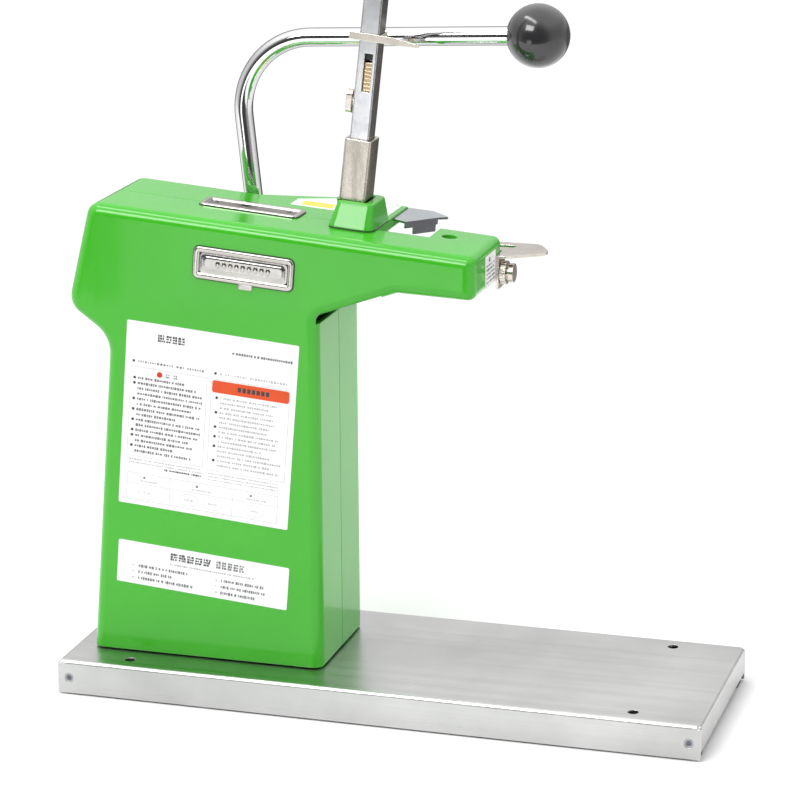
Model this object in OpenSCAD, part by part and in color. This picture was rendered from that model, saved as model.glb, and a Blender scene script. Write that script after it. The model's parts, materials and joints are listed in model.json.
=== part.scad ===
// Hand-worked bench machine that closes the neck of a bag with a metal clip.
// X runs from the column towards the nose, Y towards the lever side, Z up.
// The origin is the centre of the base on the surface that the feet stand on.

/* [Base] */
// Length of the base tray
base_l = 420; // [400:1:520]
// Width of the base tray
base_w = 144; // [144:1:180]
// Height of the tray's long flanges
base_h = 22; // [18:1:32]
// Thickness of the folded sheet
sheet_t = 1.5; // [1:0.5:2]
// How far the feet reach below the tray
foot_drop = 1; // [0.5:0.5:4]
// Distance between the bench holes along the base
bench_hole_dx = 330; // [320:1:340]
// Distance between the bench holes across the base
bench_hole_dy = 118; // [112:1:120]
// Diameter of the bench holes
bench_hole_d = 7; // [5:0.5:8]

/* [Housing] */
// Distance from the base's rear edge to the column
col_setback = 15.7; // [14:0.1:18]
// Length of the column at its foot
col_l = 153.6; // [150:0.1:160]
// Width of the housing over both halves
house_w = 88; // [84:1:100]
// Forward tilt of the head, in degrees
tilt = 4.7; // [4:0.1:5.2]
// Height of the head's top over the deck, square to the tilted top
head_h = 294.5; // [290:0.5:312]
// Distance from the column's rear foot to the end of the nose
nose_x = 253.6; // [250:0.1:262]
// Wall thickness of the housing
wall = 3; // [2:0.5:4]
// Gap between the housing and the base
foot_gap = 1; // [0.5:0.1:1.2]

/* [Neck slot] */
// Distance from the column's rear foot to the slot
slot_x = 180.8; // [178:0.1:182]
// Width of the slot that takes the bag neck
slot_w = 34.5; // [30:0.5:36]
// How far the slot reaches past the middle plane
slot_depth = 7.5; // [6:0.5:9]
// Width of the nose block past the middle plane
nose_far = 21; // [19:0.5:24]
// Thickness of the guide shelf beside the slot
shelf_t = 6.5; // [5:0.5:8]
// Reach of the guide shelf from the middle plane
shelf_y = 62; // [56:0.5:62]

/* [Lever] */
// Diameter of the lever rod
rod_d = 12; // [10:0.5:13]
// Diameter of the ball knob
knob_d = 40; // [34:1:44]
// Bend radius of the lever rod at its middle
rod_bend_r = 48; // [40:1:55]
// Swing of the lever, in degrees
lever_swing = 42; // [34:1:42]
// Diameter of the lever shaft
shaft_d = 12; // [10:0.5:14]

/* [Magazine] */
// Length of the rail
rail_l = 228; // [190:1:260]
// Size of the rail along the head
rail_x = 12.5; // [11:0.5:14]
// Size of the rail across the head
rail_y = 13.5; // [12:0.5:15]
// Forward lean of the magazine, in degrees
mag_lean = 6.4; // [4.7:0.1:8]

/* [Clearances] */
// Radial clearance of the shaft in its bushes
shaft_clear = 0.05; // [0.02:0.01:0.09]
// Gap round the ram in its guide
ram_clear = 0.3; // [0.2:0.05:0.5]
// Gap between parts that slide past each other
slide_clear = 0.3; // [0.2:0.05:0.4]
// Gap between the rail and its sleeve
seat_clear = 0.2; // [0.1:0.05:0.3]

/* [Hidden] */
$fn = 48;
eps = 0.01;
deck_z = foot_drop + base_h;
col_rear = -base_l / 2 + col_setback;
col_front = col_rear + col_l;
half_w = house_w / 2;
slot_rear = col_rear + slot_x;
slot_front = slot_rear + slot_w;
nose_end = col_rear + nose_x;
mag_y = 3;
heel = 2.6;

// Place along the tilted head's top of something x in front of the column's rear foot
function head_x(x) = (x - head_h * sin(tilt)) / cos(tilt);
slot_u = head_x(slot_x);

// Outline of the housing seen from the side, as [x, height over the deck, corner radius]
under_z = head_h - 63.5;
beam_z = under_z + 18;
bulge_z = head_h - 66.3;
hip_z = bulge_z - 19.9;
beam_x = slot_rear + 23;
rear_x = col_rear + 3.5;
bulge_x = col_rear - 10.5 - heel;
function top_z(x) = (head_h - (x - col_rear) * sin(tilt)) / cos(tilt);
function rear_line(z) = col_rear - heel + z * tan(tilt);
OUTLINE = [
    [rear_line(foot_gap), foot_gap, 1],
    [col_front, foot_gap, 1],
    [col_front, under_z, 4],
    [beam_x, beam_z, 6],
    [nose_end, beam_z - 2, 5],
    [nose_end, top_z(nose_end), 5],
    [rear_x, top_z(rear_x), 9],
    [bulge_x, bulge_z, 13],
    [rear_line(hip_z), hip_z, 20]
];

// Lever, shaft and ram
shaft_x = col_rear + 81.7;
shaft_z = deck_z + 244;
lever_y = 58;
leg_lean = 5.8;
leg_h = 141.9;
arm_rise = 2.7;
arm_l = 200;
hub_d = 30;
hub_t = 15;
ram_w = 280;
ram_y = 16;
ram_h = 12;
roller_d = 10;
arm_r = 30;
arm_rest = lever_swing / 2 - tilt;
plate_t = 4;
plate_y = 20;
bush_wall = 3;
bush_flange = 2;
spring_r = 25;
spring_x = shaft_x - spring_r * cos(arm_rest);
spring_top = shaft_z - spring_r * sin(arm_rest);
spring_low = 150;

// Magazine
mag_x = col_rear + 163.3;
mag_z = deck_z + top_z(mag_x) + 0.2;
boot_h = 16;
sleeve_wall = 2.2;
sleeve_top = 54;
sleeve_low = -5;
rail_low = -6;
rail_wall = 1.2;
window_z = 84;
window_h = 24;
stick_top = 103;
band_z = 118;
catch_z = 75.7;
band_h = 4.6;

screw_spots = [
    [col_rear + 14.3, 24], [col_front - 12.3, 24], [col_rear + 28, 186],
    [col_front - 12.3, 186], [col_rear + 14, 264], [col_rear + 161.5, 247]
];

// ---------- helpers ----------

function unit(v) = v / norm(v);

// Points of one rounded corner p between its neighbours a and b
function corner(a, p, b, r, n) =
    let (u = unit(a - p), v = unit(b - p), half = acos(u * v) / 2)
    let (t = r / tan(half), c = p + unit(u + v) * r / sin(half))
    let (s = p + u * t - c, e = p + v * t - c)
    let (a0 = atan2(s.y, s.x), d0 = atan2(e.y, e.x) - a0)
    let (d = d0 > 180 ? d0 - 360 : d0 < -180 ? d0 + 360 : d0)
    [for (i = [0 : n]) c + r * [cos(a0 + d * i / n), sin(a0 + d * i / n)]];

// Outline of [x, y, radius] corners as plain points
function rounded(pts, n = 8) =
    let (m = len(pts))
    [for (i = [0 : m - 1])
        let (a = pts[(i + m - 1) % m], p = pts[i], b = pts[(i + 1) % m])
        each corner([a.x, a.y], [p.x, p.y], [b.x, b.y], max(p.z, 0.05), p.z < 1.5 ? 2 : n)];

// The same corners moved inwards by d (the outline runs anticlockwise)
function inset(pts, d) =
    let (m = len(pts))
    [for (i = [0 : m - 1])
        let (a = pts[(i + m - 1) % m], p = pts[i], b = pts[(i + 1) % m])
        let (e = unit([p.x - a.x, p.y - a.y]), f = unit([b.x - p.x, b.y - p.y]))
        let (ne = [-e.y, e.x], nf = [-f.y, f.x])
        let (q = [p.x, p.y] + d * (ne + nf) / (1 + ne * nf), turn = e.x * f.y - e.y * f.x)
        [q.x, q.y, turn > 0 ? max(p.z - d, 0.3) : p.z + d]];

// A side outline drawn in X and Z, made solid from y0 to y1
module side(y0, y1) {
    translate([0, y1, 0]) rotate([90, 0, 0]) linear_extrude(y1 - y0) children();
}

// A cylinder along Y from y0 to y1
module pin_y(x, z, d, y0, y1) {
    translate([x, y1, z]) rotate([90, 0, 0]) cylinder(d = d, h = y1 - y0);
}

module block(x0, x1, y0, y1, z0, z1) {
    translate([x0, y0, z0]) cube([x1 - x0, y1 - y0, z1 - z0]);
}

// Plate with rounded corners, centred in X and Y, standing on Z = 0
module rounded_plate(l, w, t, r) {
    linear_extrude(t) polygon(rounded([
        [-l / 2, -w / 2, r], [l / 2, -w / 2, r], [l / 2, w / 2, r], [-l / 2, w / 2, r]], 6));
}

// Frame that follows the tilted head: X along its top, Z square to its top
module head() { translate([col_rear, 0, deck_z]) rotate([0, tilt, 0]) children(); }

// Frame of the leaning magazine: Z along the rail
module magazine() { translate([mag_x, mag_y, mag_z]) rotate([0, mag_lean, 0]) children(); }

// A patch on the near side of the housing, centred at (x, z over the deck)
module on_near_side(x, z) {
    translate([x, -half_w, deck_z + z]) rotate([0, tilt, 0]) rotate([90, 0, 0]) children();
}

// ---------- base ----------

hole_at = [for (x = [-1, 1], y = [-1, 1]) [x * bench_hole_dx / 2, y * bench_hole_dy / 2]];
col_bolt_at = [for (x = [col_rear + 34.3, col_front - 25.3], y = [-31, 31]) [x, y]];
tray_r = 2.5;
end_drop = 4.5;
ear_l = 14;
tray_screw_x = base_l / 2 - 7.5;
tray_screw_z = deck_z - 11.5;

module tray_section(w, h) {
    difference() {
        polygon(rounded([
            [-w / 2, -h, 0.3], [w / 2, -h, 0.3], [w / 2, 0, tray_r], [-w / 2, 0, tray_r]]));
        polygon(rounded([
            [-w / 2 + sheet_t, -h - 1, 0.3], [w / 2 - sheet_t, -h - 1, 0.3],
            [w / 2 - sheet_t, -sheet_t, tray_r - sheet_t], [-w / 2 + sheet_t, -sheet_t, tray_r - sheet_t]]));
    }
}

module base_tray() {
    end_h = base_h - end_drop;
    color("silver") difference() {
        union() {
            translate([-base_l / 2 + tray_r, 0, deck_z]) rotate([90, 0, 90])
                linear_extrude(base_l - 2 * tray_r) tray_section(base_w, base_h);
            translate([0, base_w / 2 - tray_r, deck_z]) rotate([90, 0, 0])
                linear_extrude(base_w - 2 * tray_r) tray_section(base_l, end_h);
            for (x = [-1, 1], y = [-1, 1]) {
                corner_y = y * (base_w / 2 - sheet_t / 2);
                translate([x * (base_l / 2 - tray_r), corner_y, deck_z - base_h / 2 - 1])
                    cube([2 * tray_r, sheet_t, base_h - 2], center = true);
            }
            for (x = [-1, 1], y = [-1, 1]) {
                ear_x = x * (base_l / 2 - ear_l / 2 - 0.7);
                ear_y = y * (base_w / 2 - 1.5 * sheet_t);
                translate([ear_x, ear_y, deck_z - end_h / 2 - 0.5])
                    cube([ear_l, sheet_t, end_h - 1], center = true);
            }
        }
        for (p = hole_at) translate([p.x, p.y, deck_z - 5]) cylinder(d = bench_hole_d, h = 10);
        for (p = col_bolt_at) translate([p.x, p.y, deck_z - 5]) cylinder(d = 8.4, h = 10);
        for (x = [-1, 1]) pin_y(x * tray_screw_x, tray_screw_z, 4.2, -base_w, base_w);
        for (x = [-1, 1], y = [-1, 1]) translate([x * tray_screw_x, y * base_w / 2, tray_screw_z])
            rotate([90, 0, 0]) cylinder(d = 5.9, h = 1, center = true);
    }
}

module tray_screws() {
    color("dimgray") for (x = [-1, 1], y = [-1, 1])
        translate([x * tray_screw_x, y * (base_w / 2), tray_screw_z]) rotate([-90 * y, 0, 0]) {
            translate([0, 0, -6]) cylinder(d = 4, h = 6);
            difference() {
                translate([0, 0, -0.4]) cylinder(d1 = 4, d2 = 5.6, h = 0.4);
                translate([0, 0, -0.3]) cylinder(d = 1.6, h = 1, $fn = 6);
            }
        }
}

module corner_feet() {
    foot = 13;
    inner_x = base_l / 2 - sheet_t - 0.2;
    inner_y = base_w / 2 - 2 * sheet_t - 0.2;
    color([0.08, 0.08, 0.08]) for (x = [-1, 1], y = [-1, 1]) difference() {
        translate([x * (inner_x - foot / 2), y * (inner_y - foot / 2), 0])
            rounded_plate(foot, foot, deck_z - sheet_t - 1.1, 2);
        pin_y(x * tray_screw_x, tray_screw_z, 5, -base_w, base_w);
    }
}

module column_bolts() {
    color("gray") for (p = col_bolt_at) translate([p.x, p.y, deck_z]) {
        translate([0, 0, -sheet_t - 5]) cylinder(d = 13, h = 5, $fn = 6);
        translate([0, 0, -sheet_t - 1]) cylinder(d = 8, h = foot_plate_t + sheet_t + 3);
        translate([0, 0, foot_plate_t]) cylinder(d = 13, h = 6, $fn = 6);
    }
}

// ---------- frame ----------

foot_plate_t = 4;
lug_t = 4;
frame_rear = col_rear + 45;
frame_front = col_front - 24;
plate_hip_z = 212;
spacer_at = [[frame_rear + 12, 60], [frame_front - 12, 130], [col_rear + 128, 243]];
guide_bolt_u = [118, 139];
guide_bolt_w = 269.8;

module frame_foot() {
    color("slategray") difference() {
        union() {
            block(col_rear + 8, col_front - 5, -38, 38, deck_z, deck_z + foot_plate_t);
            for (i = [0, 1])
                block(screw_spots[i].x - 6, screw_spots[i].x + 6, -lug_t / 2, lug_t / 2,
                    deck_z, deck_z + screw_spots[i].y + 7);
        }
        for (p = col_bolt_at) translate([p.x, p.y, deck_z - 1]) cylinder(d = 8.4, h = 10);
        for (i = [0, 1]) pin_y(screw_spots[i].x, deck_z + screw_spots[i].y, 4.4, -5, 5);
    }
}

module frame_side(y0) {
    difference() {
        side(y0, y0 + plate_t) polygon([
            [frame_rear, deck_z + foot_plate_t], [frame_front, deck_z + foot_plate_t],
            [frame_front, deck_z + plate_hip_z + 10], [col_rear + 142, deck_z + 237],
            [col_rear + 152, deck_z + 254], [col_rear + 163, deck_z + 254],
            [col_rear + 163, deck_z + 273], [col_rear + 40, deck_z + 284],
            [col_rear + 40, deck_z + 222], [frame_rear, deck_z + plate_hip_z]]);
        pin_y(shaft_x, shaft_z, shaft_d + 2 * bush_wall, y0 - 1, y0 + plate_t + 1);
        for (p = spacer_at) pin_y(p.x, deck_z + p.y, 6.4, y0 - 1, y0 + plate_t + 1);
        pin_y(spring_x, spring_low, 6, y0 - 1, y0 + plate_t + 1);
        for (u = guide_bolt_u) head() pin_y(u, guide_bolt_w, 4.2, y0 - 1, y0 + plate_t + 1);
    }
}

module frame_near_plate() { color("slategray") frame_side(-plate_y - plate_t); }

module frame_far_plate() { color("slategray") frame_side(plate_y); }

module frame_spacers() {
    color("silver") for (p = spacer_at) difference() {
        pin_y(p.x, deck_z + p.y, 12, -plate_y, plate_y);
        pin_y(p.x, deck_z + p.y, 6.4, -plate_y - 1, plate_y + 1);
    }
}

module frame_bolts() {
    y1 = plate_y + plate_t;
    color("gray") for (p = spacer_at) {
        pin_y(p.x, deck_z + p.y, 6, -y1 - 4, y1 + 6);
        translate([p.x, -y1, deck_z + p.y]) rotate([90, 0, 0]) cylinder(d = 11.5, h = 4, $fn = 6);
        translate([p.x, y1 + 5, deck_z + p.y]) rotate([90, 0, 0]) cylinder(d = 11.5, h = 5, $fn = 6);
    }
    color("gray") for (u = guide_bolt_u) head() {
        pin_y(u, guide_bolt_w, 4, -y1, y1);
        for (y = [-y1, y1 + 3])
            translate([u, y, guide_bolt_w]) rotate([90, 0, 0]) cylinder(d = 8, h = 3, $fn = 6);
    }
}

// ---------- housing ----------

boss_d = 10;
mouth_x = slot_rear - 8.5;
nose_wall_x = slot_front + wall;
pit_front = slot_rear + 13.5;

// The hollow inside: the outline less the wall, open at the foot
INNER = inset(OUTLINE, wall);
HOLLOW = [
    [rear_line(-4) + wall / cos(tilt), -4, 0.3], [col_front - wall, -4, 0.3],
    for (i = [2 : len(INNER) - 1]) INNER[i]
];

module cavity(y0, y1) { translate([0, 0, deck_z]) side(y0, y1) polygon(rounded(HOLLOW)); }

module housing_body(y0, y1) { translate([0, 0, deck_z]) side(y0, y1) polygon(rounded(OUTLINE)); }

// The open part of the head's underside, between the column and the beam
module underside_mouth() {
    translate([0, 0, deck_z]) side(-half_w + wall, half_w - wall) polygon([
        [col_front - wall - 1, under_z - 4.5], [col_front + 1, under_z - 4.5], [pit_front, under_z + 4],
        [pit_front, under_z + 24], [col_front - wall - 1, under_z + 8]]);
}

module bosses(from, to, lug_gap) {
    for (i = [0 : len(screw_spots) - 1]) {
        p = screw_spots[i];
        stop = i < 2 ? to + lug_gap : to;
        pin_y(p.x, deck_z + p.y, boss_d, min(from, stop), max(from, stop));
    }
}

module sleeve_hole() {
    s = 2 * (sleeve_wall + seat_clear + slide_clear);
    magazine() translate([0, 0, -8]) cube([rail_x + s, rail_y + s, 30], center = true);
}

module near_cover() {
    color([0.25, 0.72, 0.2]) difference() {
        union() {
            difference() {
                union() {
                    housing_body(-half_w, 0);
                    intersection() {
                        housing_body(-1, nose_far);
                        block(slot_front, nose_end + 1, -2, nose_far + 1, deck_z, deck_z + head_h);
                    }
                }
                intersection() {
                    cavity(-half_w + wall, 1);
                    block(col_rear - 60, mouth_x, -half_w, 2, 0, deck_z + head_h);
                }
                intersection() {
                    cavity(-half_w + wall, -slot_depth - wall);
                    block(mouth_x - 1, nose_wall_x + 1, -half_w, half_w, 0, deck_z + head_h);
                }
                intersection() {
                    cavity(-half_w + wall, nose_far - wall);
                    block(nose_wall_x, nose_end, -half_w, half_w, 0, deck_z + head_h);
                }
                underside_mouth();
            }
            bosses(-half_w + 1, 0, -lug_t / 2 - slide_clear);
        }
        block(slot_rear, slot_front, -slot_depth, half_w, 0, deck_z + head_h + 20);
        block(mouth_x, slot_rear + 1, -slot_depth, half_w, 0, deck_z + under_z + 36);
        head() block(slot_u - 6.5, slot_u + 2, -slot_depth, half_w, 262, head_h - shelf_t);
        head() block(slot_u - 9, slot_u + 2, -slot_depth, 13.8, 262, head_h - shelf_t);
        for (p = screw_spots) pin_y(p.x, deck_z + p.y, 3.4, -24, 2);
        head() translate([anvil_screw_x, 1, head_h - 6]) cylinder(d = 9.6, h = 12);
        head() translate([slot_u + slot_w, anvil_y, ram_w]) cube([12, 14.2, 14.2], center = true);
        thumb_spot(-12) cylinder(d = thumb_d + 2 * shaft_clear, h = 20);
        sleeve_hole();
    }
}

module far_cover() {
    shelf_z = head_h - shelf_t;
    color([0.25, 0.72, 0.2]) difference() {
        union() {
            difference() {
                housing_body(0, half_w);
                cavity(-1, half_w - wall);
                underside_mouth();
            }
            intersection() {
                housing_body(0, half_w);
                block(mouth_x - wall, mouth_x, 14, half_w, deck_z + 200, deck_z + head_h);
            }
            head() translate([0, 0, shelf_z]) linear_extrude(shelf_t) polygon(rounded([
                [slot_u - 85, half_w - 3.5, 1], [slot_u - 9.5, half_w - 3.5, 0.3], [slot_u - 9.5, 2, 0.3],
                [slot_u + 22, 2, 1],
                [slot_u + 22, shelf_y, 3], [slot_u - 44, shelf_y, 12], [slot_u - 82, half_w, 12]]));
            bosses(half_w - 1, 0, lug_t / 2 + slide_clear);
        }
        block(slot_rear, nose_end + 1, -1, half_w + shelf_y, 0, deck_z + head_h + 20);
        block(mouth_x, slot_rear + 1, -1, half_w + 1, 0, deck_z + under_z + 36);
        head() block(slot_u - 6.5, slot_u + 2, -1, half_w + 1, 262, shelf_z);
        head() block(slot_u - 9, slot_u + 2, -1, 13.8, 262, shelf_z);
        for (p = screw_spots) {
            pin_y(p.x, deck_z + p.y, 4.4, -1, half_w + 1);
            pin_y(p.x, deck_z + p.y, 7.6, half_w - 1.2, half_w + 1);
        }
        pin_y(shaft_x, shaft_z, shaft_d + 6, half_w - 5, half_w + 2);
        sleeve_hole();
        rear_guide_holes();
    }
}

module cover_screws() {
    color("silver") for (p = screw_spots) {
        pin_y(p.x, deck_z + p.y, 3.4, -20, half_w - 1);
        difference() {
            pin_y(p.x, deck_z + p.y, 7, half_w - 1.2, half_w + 1.2);
            translate([p.x, half_w + 2, deck_z + p.y]) rotate([90, 0, 0]) cylinder(d = 3.4, h = 2, $fn = 6);
        }
    }
}

// ---------- labels and badges ----------

label_t = 0.2;
upper_label = [114, 121];
lower_label = [115.5, 28.5];
badge = [65.5, 20.5];

module side_label_upper() {
    color("white") on_near_side(col_rear + 80.4, 157) translate([0, 0, eps])
        rounded_plate(upper_label.x, upper_label.y, label_t, 1);
}

module side_label_lower() {
    color("white") on_near_side(col_rear + 74.4, 57.2) translate([0, 0, eps])
        rounded_plate(lower_label.x, lower_label.y, label_t, 1);
}

module top_label() {
    color("white") head() translate([0, 0, head_h + eps]) linear_extrude(label_t)
        polygon(rounded([[90.5, 24, 1], [128, 24, 1], [128, 26.3, 1], [slot_u - 3.5, 26.3, 1],
            [slot_u - 3.5, shelf_y - 3, 1], [slot_u - 40, shelf_y - 3, 6], [slot_u - 66, half_w - 3, 6],
            [90.5, half_w - 3, 1]], 4));
}

module end_label() {
    color("white") translate([nose_end + eps, 0, deck_z + beam_z + 10.5]) rotate([90, 0, 90])
        translate([-5, 0, 0]) rounded_plate(24, 20, label_t, 1);
}

module badge_frame() {
    difference() {
        rounded_plate(badge.x, badge.y, 1.6, 2.5);
        translate([0, 0, -1]) rounded_plate(badge.x - 8, badge.y - 7.5, 4, 2);
    }
}

module badge_plate() {
    translate([0, 0, eps]) rounded_plate(badge.x - 8.6, badge.y - 8.1, 0.7, 1.8);
    translate([0, 0, 0.5]) rounded_plate(badge.x - 20, badge.y - 14, 0.8, 2.5);
}

module side_badge_frame() {
    color("gainsboro") on_near_side(col_rear + 106.4, 259.6) translate([0, 0, eps]) {
        badge_frame();
        translate([2, -badge.y / 2 - 0.8, 0]) rounded_plate(9, 5, 1, 1);
    }
}

module side_badge_plate() { color("silver") on_near_side(col_rear + 106.4, 259.6) badge_plate(); }

module top_badge_frame() {
    color("gainsboro") head() translate([73.5, 0.5, head_h + eps]) badge_frame();
}

module top_badge_plate() { color("silver") head() translate([73.5, 0.5, head_h]) badge_plate(); }

// ---------- magazine ----------

module magazine_boot() {
    color([0.25, 0.72, 0.2]) difference() {
        hull() {
            head() translate([143.2, mag_y - 1.6, head_h + eps]) rounded_plate(30, 42, 0.1, 6);
            head() translate([143.6, mag_y, head_h + boot_h]) rounded_plate(23, 28, 0.1, 3.5);
        }
        magazine() translate([0, 0, 15]) cube([rail_x + 2 * sleeve_wall + 2 * seat_clear + 0.6,
            rail_y + 2 * sleeve_wall + 2 * seat_clear + 0.6, 80], center = true);
    }
}

module magazine_sleeve() {
    in_x = rail_x + 2 * seat_clear;
    in_y = rail_y + 2 * seat_clear;
    color("gainsboro") magazine() difference() {
        translate([0, 0, sleeve_low]) rounded_plate(in_x + 2 * sleeve_wall, in_y + 2 * sleeve_wall,
            sleeve_top - sleeve_low, 1.2);
        block(-in_x / 2, in_x / 2, -in_y / 2, in_y / 2, sleeve_low - 1, sleeve_top + 1);
    }
}

module magazine_rail() {
    color("gainsboro") magazine() difference() {
        translate([0, 0, rail_low]) rounded_plate(rail_x, rail_y, rail_l - rail_low, 0.8);
        block(-rail_x / 2 + rail_wall, rail_x / 2 - rail_wall, -rail_y / 2 + rail_wall, rail_y / 2 - rail_wall,
            rail_low - 1, rail_l - 2);
        block(-2, 2, 0, rail_y, sleeve_top + 2, rail_l - 10);
        translate([1, 0, window_z]) block(-2.6, 2.6, -rail_y, 0, 0, window_h);
        translate([-rail_x, 0, catch_z]) rotate([0, 90, 0]) cylinder(d = 5, h = rail_x);
    }
}

module rail_catch() {
    color("gainsboro") magazine() translate([-rail_x / 2, 0, catch_z]) {
        rotate([0, 90, 0]) translate([0, 0, -2]) cylinder(d = 4.4, h = 3);
        translate([-5.6, 0, 0]) rotate([0, 90, 0]) rounded_plate(14.5, 7, 3.7, 3);
    }
}

module clip_profile(grow) {
    w = rail_y - 2 * rail_wall - 0.6 + grow;
    l = rail_x - 2 * rail_wall - 0.6 + grow;
    difference() {
        square([l, w], center = true);
        translate([1.6, 0]) square([l, w - 4], center = true);
    }
}

module clip_stick() {
    clip_h = 2.4;
    count = floor((stick_top - rail_low) / clip_h);
    color("lightgray") magazine() {
        translate([0, 0, rail_low]) linear_extrude(count * clip_h) clip_profile(-0.3);
        for (i = [0 : count - 1]) translate([0, 0, rail_low + i * clip_h + 0.2])
            linear_extrude(clip_h - 0.4) clip_profile(0);
    }
}

module clip_pusher() {
    l = rail_x - 2 * rail_wall - 2 * slide_clear;
    w = rail_y - 2 * rail_wall - 2 * slide_clear;
    color("gray") magazine() {
        block(-l / 2, l / 2, -w / 2, w / 2, stick_top + 1, band_z + 12);
        block(-1.6, 1.6, 0, rail_y / 2 + slide_clear, band_z - band_h / 2 + 0.2, band_z + band_h / 2 - 0.2);
    }
}

module pusher_band() {
    inner_x = rail_x / 2 + slide_clear;
    inner_y = rail_y / 2 + slide_clear;
    h = band_h / 2;
    t = 0.8;
    color("gainsboro") magazine() translate([0, 0, band_z]) {
        difference() {
            block(-inner_x - t, inner_x + t, -inner_y - t, inner_y + t, -h, h);
            block(-inner_x, inner_x, -inner_y, inner_y, -5, 5);
        }
        block(-inner_x - 6, -inner_x - t / 2, -inner_y - t, -inner_y, -h, h);
        translate([0, -inner_y, 0]) rotate([90, 0, 0]) linear_extrude(t)
            polygon([[inner_x + t / 2, -h], [inner_x + 9, -h], [inner_x + 25, -1.6],
                [inner_x + 26, -0.7], [inner_x + 25, 0.2], [inner_x + 9, h], [inner_x + t / 2, h]]);
    }
}

// ---------- lever ----------

// The lever's plane: X forward, Y up, origin on the shaft
module lever_plane(y) { translate([shaft_x, y, shaft_z]) rotate([90, 0, 0]) children(); }

leg_dir = [-sin(leg_lean), cos(leg_lean)];
arm_dir = [cos(arm_rise), sin(arm_rise)];
bend_turn = 90 + leg_lean - arm_rise;
bend_t = rod_bend_r * tan(bend_turn / 2);
bend_at = leg_dir * leg_h;
knob_at = bend_at + arm_dir * arm_l;

module lever_rod() {
    c = bend_at - leg_dir * bend_t + [cos(leg_lean), sin(leg_lean)] * rod_bend_r;
    color("white") lever_plane(lever_y) translate([c.x, c.y, 0]) rotate([0, 0, 90 + arm_rise]) {
        rotate_extrude(angle = bend_turn) translate([rod_bend_r, 0]) circle(d = rod_d);
        rotate([0, 0, bend_turn]) translate([rod_bend_r, 0, 0]) rotate([-90, 0, 0])
            cylinder(d = rod_d, h = leg_h - bend_t - hub_d / 2 + 5);
        translate([rod_bend_r, 0, 0]) rotate([90, 0, 0])
            cylinder(d = rod_d, h = arm_l - bend_t - knob_d / 2 + 12);
    }
}

module ball_knob() {
    neck = 11;
    color([0.1, 0.1, 0.1]) lever_plane(lever_y) translate([knob_at.x, knob_at.y, 0])
        rotate([0, 0, arm_rise]) rotate([0, -90, 0]) difference() {
            intersection() {
                sphere(d = knob_d, $fn = 64);
                translate([0, 0, -knob_d / 2]) cylinder(d = knob_d + 1, h = knob_d - 1.2);
            }
            translate([0, 0, knob_d / 2 - 12 - 0.1]) cylinder(d = rod_d + 0.1, h = neck + 2);
        }
}

module lever_hub() {
    y0 = lever_y - hub_t / 2;
    color("silver") difference() {
        union() {
            pin_y(shaft_x, shaft_z, hub_d, y0, y0 + hub_t);
            pin_y(shaft_x, shaft_z, shaft_d + 8, half_w + 1, y0);
            lever_plane(lever_y) rotate([0, 0, 90 + leg_lean]) translate([5, 0, 0]) rotate([0, 90, 0])
                cylinder(d = rod_d + 2.8, h = hub_d / 2 + 9);
        }
        pin_y(shaft_x, shaft_z, shaft_d + 0.1, y0 - 9, y0 + hub_t + 1);
        lever_plane(lever_y) rotate([0, 0, 90 + leg_lean]) translate([hub_d / 2 - 5, 0, 0]) rotate([0, 90, 0])
            cylinder(d = rod_d + 0.1, h = 60);
        lever_plane(lever_y) rotate([0, 0, 200]) translate([shaft_d / 2 - 1, 0, 0]) rotate([0, 90, 0])
            cylinder(d = 5, h = hub_d);
    }
}

module hub_screw() {
    color("dimgray") lever_plane(lever_y) rotate([0, 0, 200])
        translate([shaft_d / 2, 0, 0]) rotate([0, 90, 0]) difference() {
            cylinder(d = 5, h = hub_d / 2 - shaft_d / 2 - 0.6);
            translate([0, 0, 6]) cylinder(d = 2.6, h = 10, $fn = 6);
        }
}

module lever_shaft() {
    y1 = plate_y + plate_t + bush_flange;
    color("silver") {
        pin_y(shaft_x, shaft_z, shaft_d, -y1 - 3, lever_y + hub_t / 2 + 5);
        pin_y(shaft_x, shaft_z, shaft_d + 5, -y1 - 3, -y1 - slide_clear);
    }
}

module shaft_nut() {
    y0 = lever_y + hub_t / 2;
    color("silver") difference() {
        union() {
            pin_y(shaft_x, shaft_z, hub_d - 7, y0, y0 + 1);
            translate([shaft_x, y0 + 5, shaft_z]) rotate([90, 0, 0]) cylinder(d = 20, h = 4, $fn = 6);
        }
        pin_y(shaft_x, shaft_z, shaft_d + 0.1, y0 - 1, y0 + 8);
    }
}

module shaft_bushes() {
    color("goldenrod") for (s = [-1, 1]) {
        inner = s * plate_y;
        outer = s * (plate_y + plate_t);
        difference() {
            union() {
                pin_y(shaft_x, shaft_z, shaft_d + 2 * bush_wall, min(inner, outer), max(inner, outer));
                pin_y(shaft_x, shaft_z, shaft_d + 12, min(outer, outer + s * bush_flange),
                    max(outer, outer + s * bush_flange));
            }
            pin_y(shaft_x, shaft_z, shaft_d + 2 * shaft_clear, -40, 40);
        }
    }
}

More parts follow.
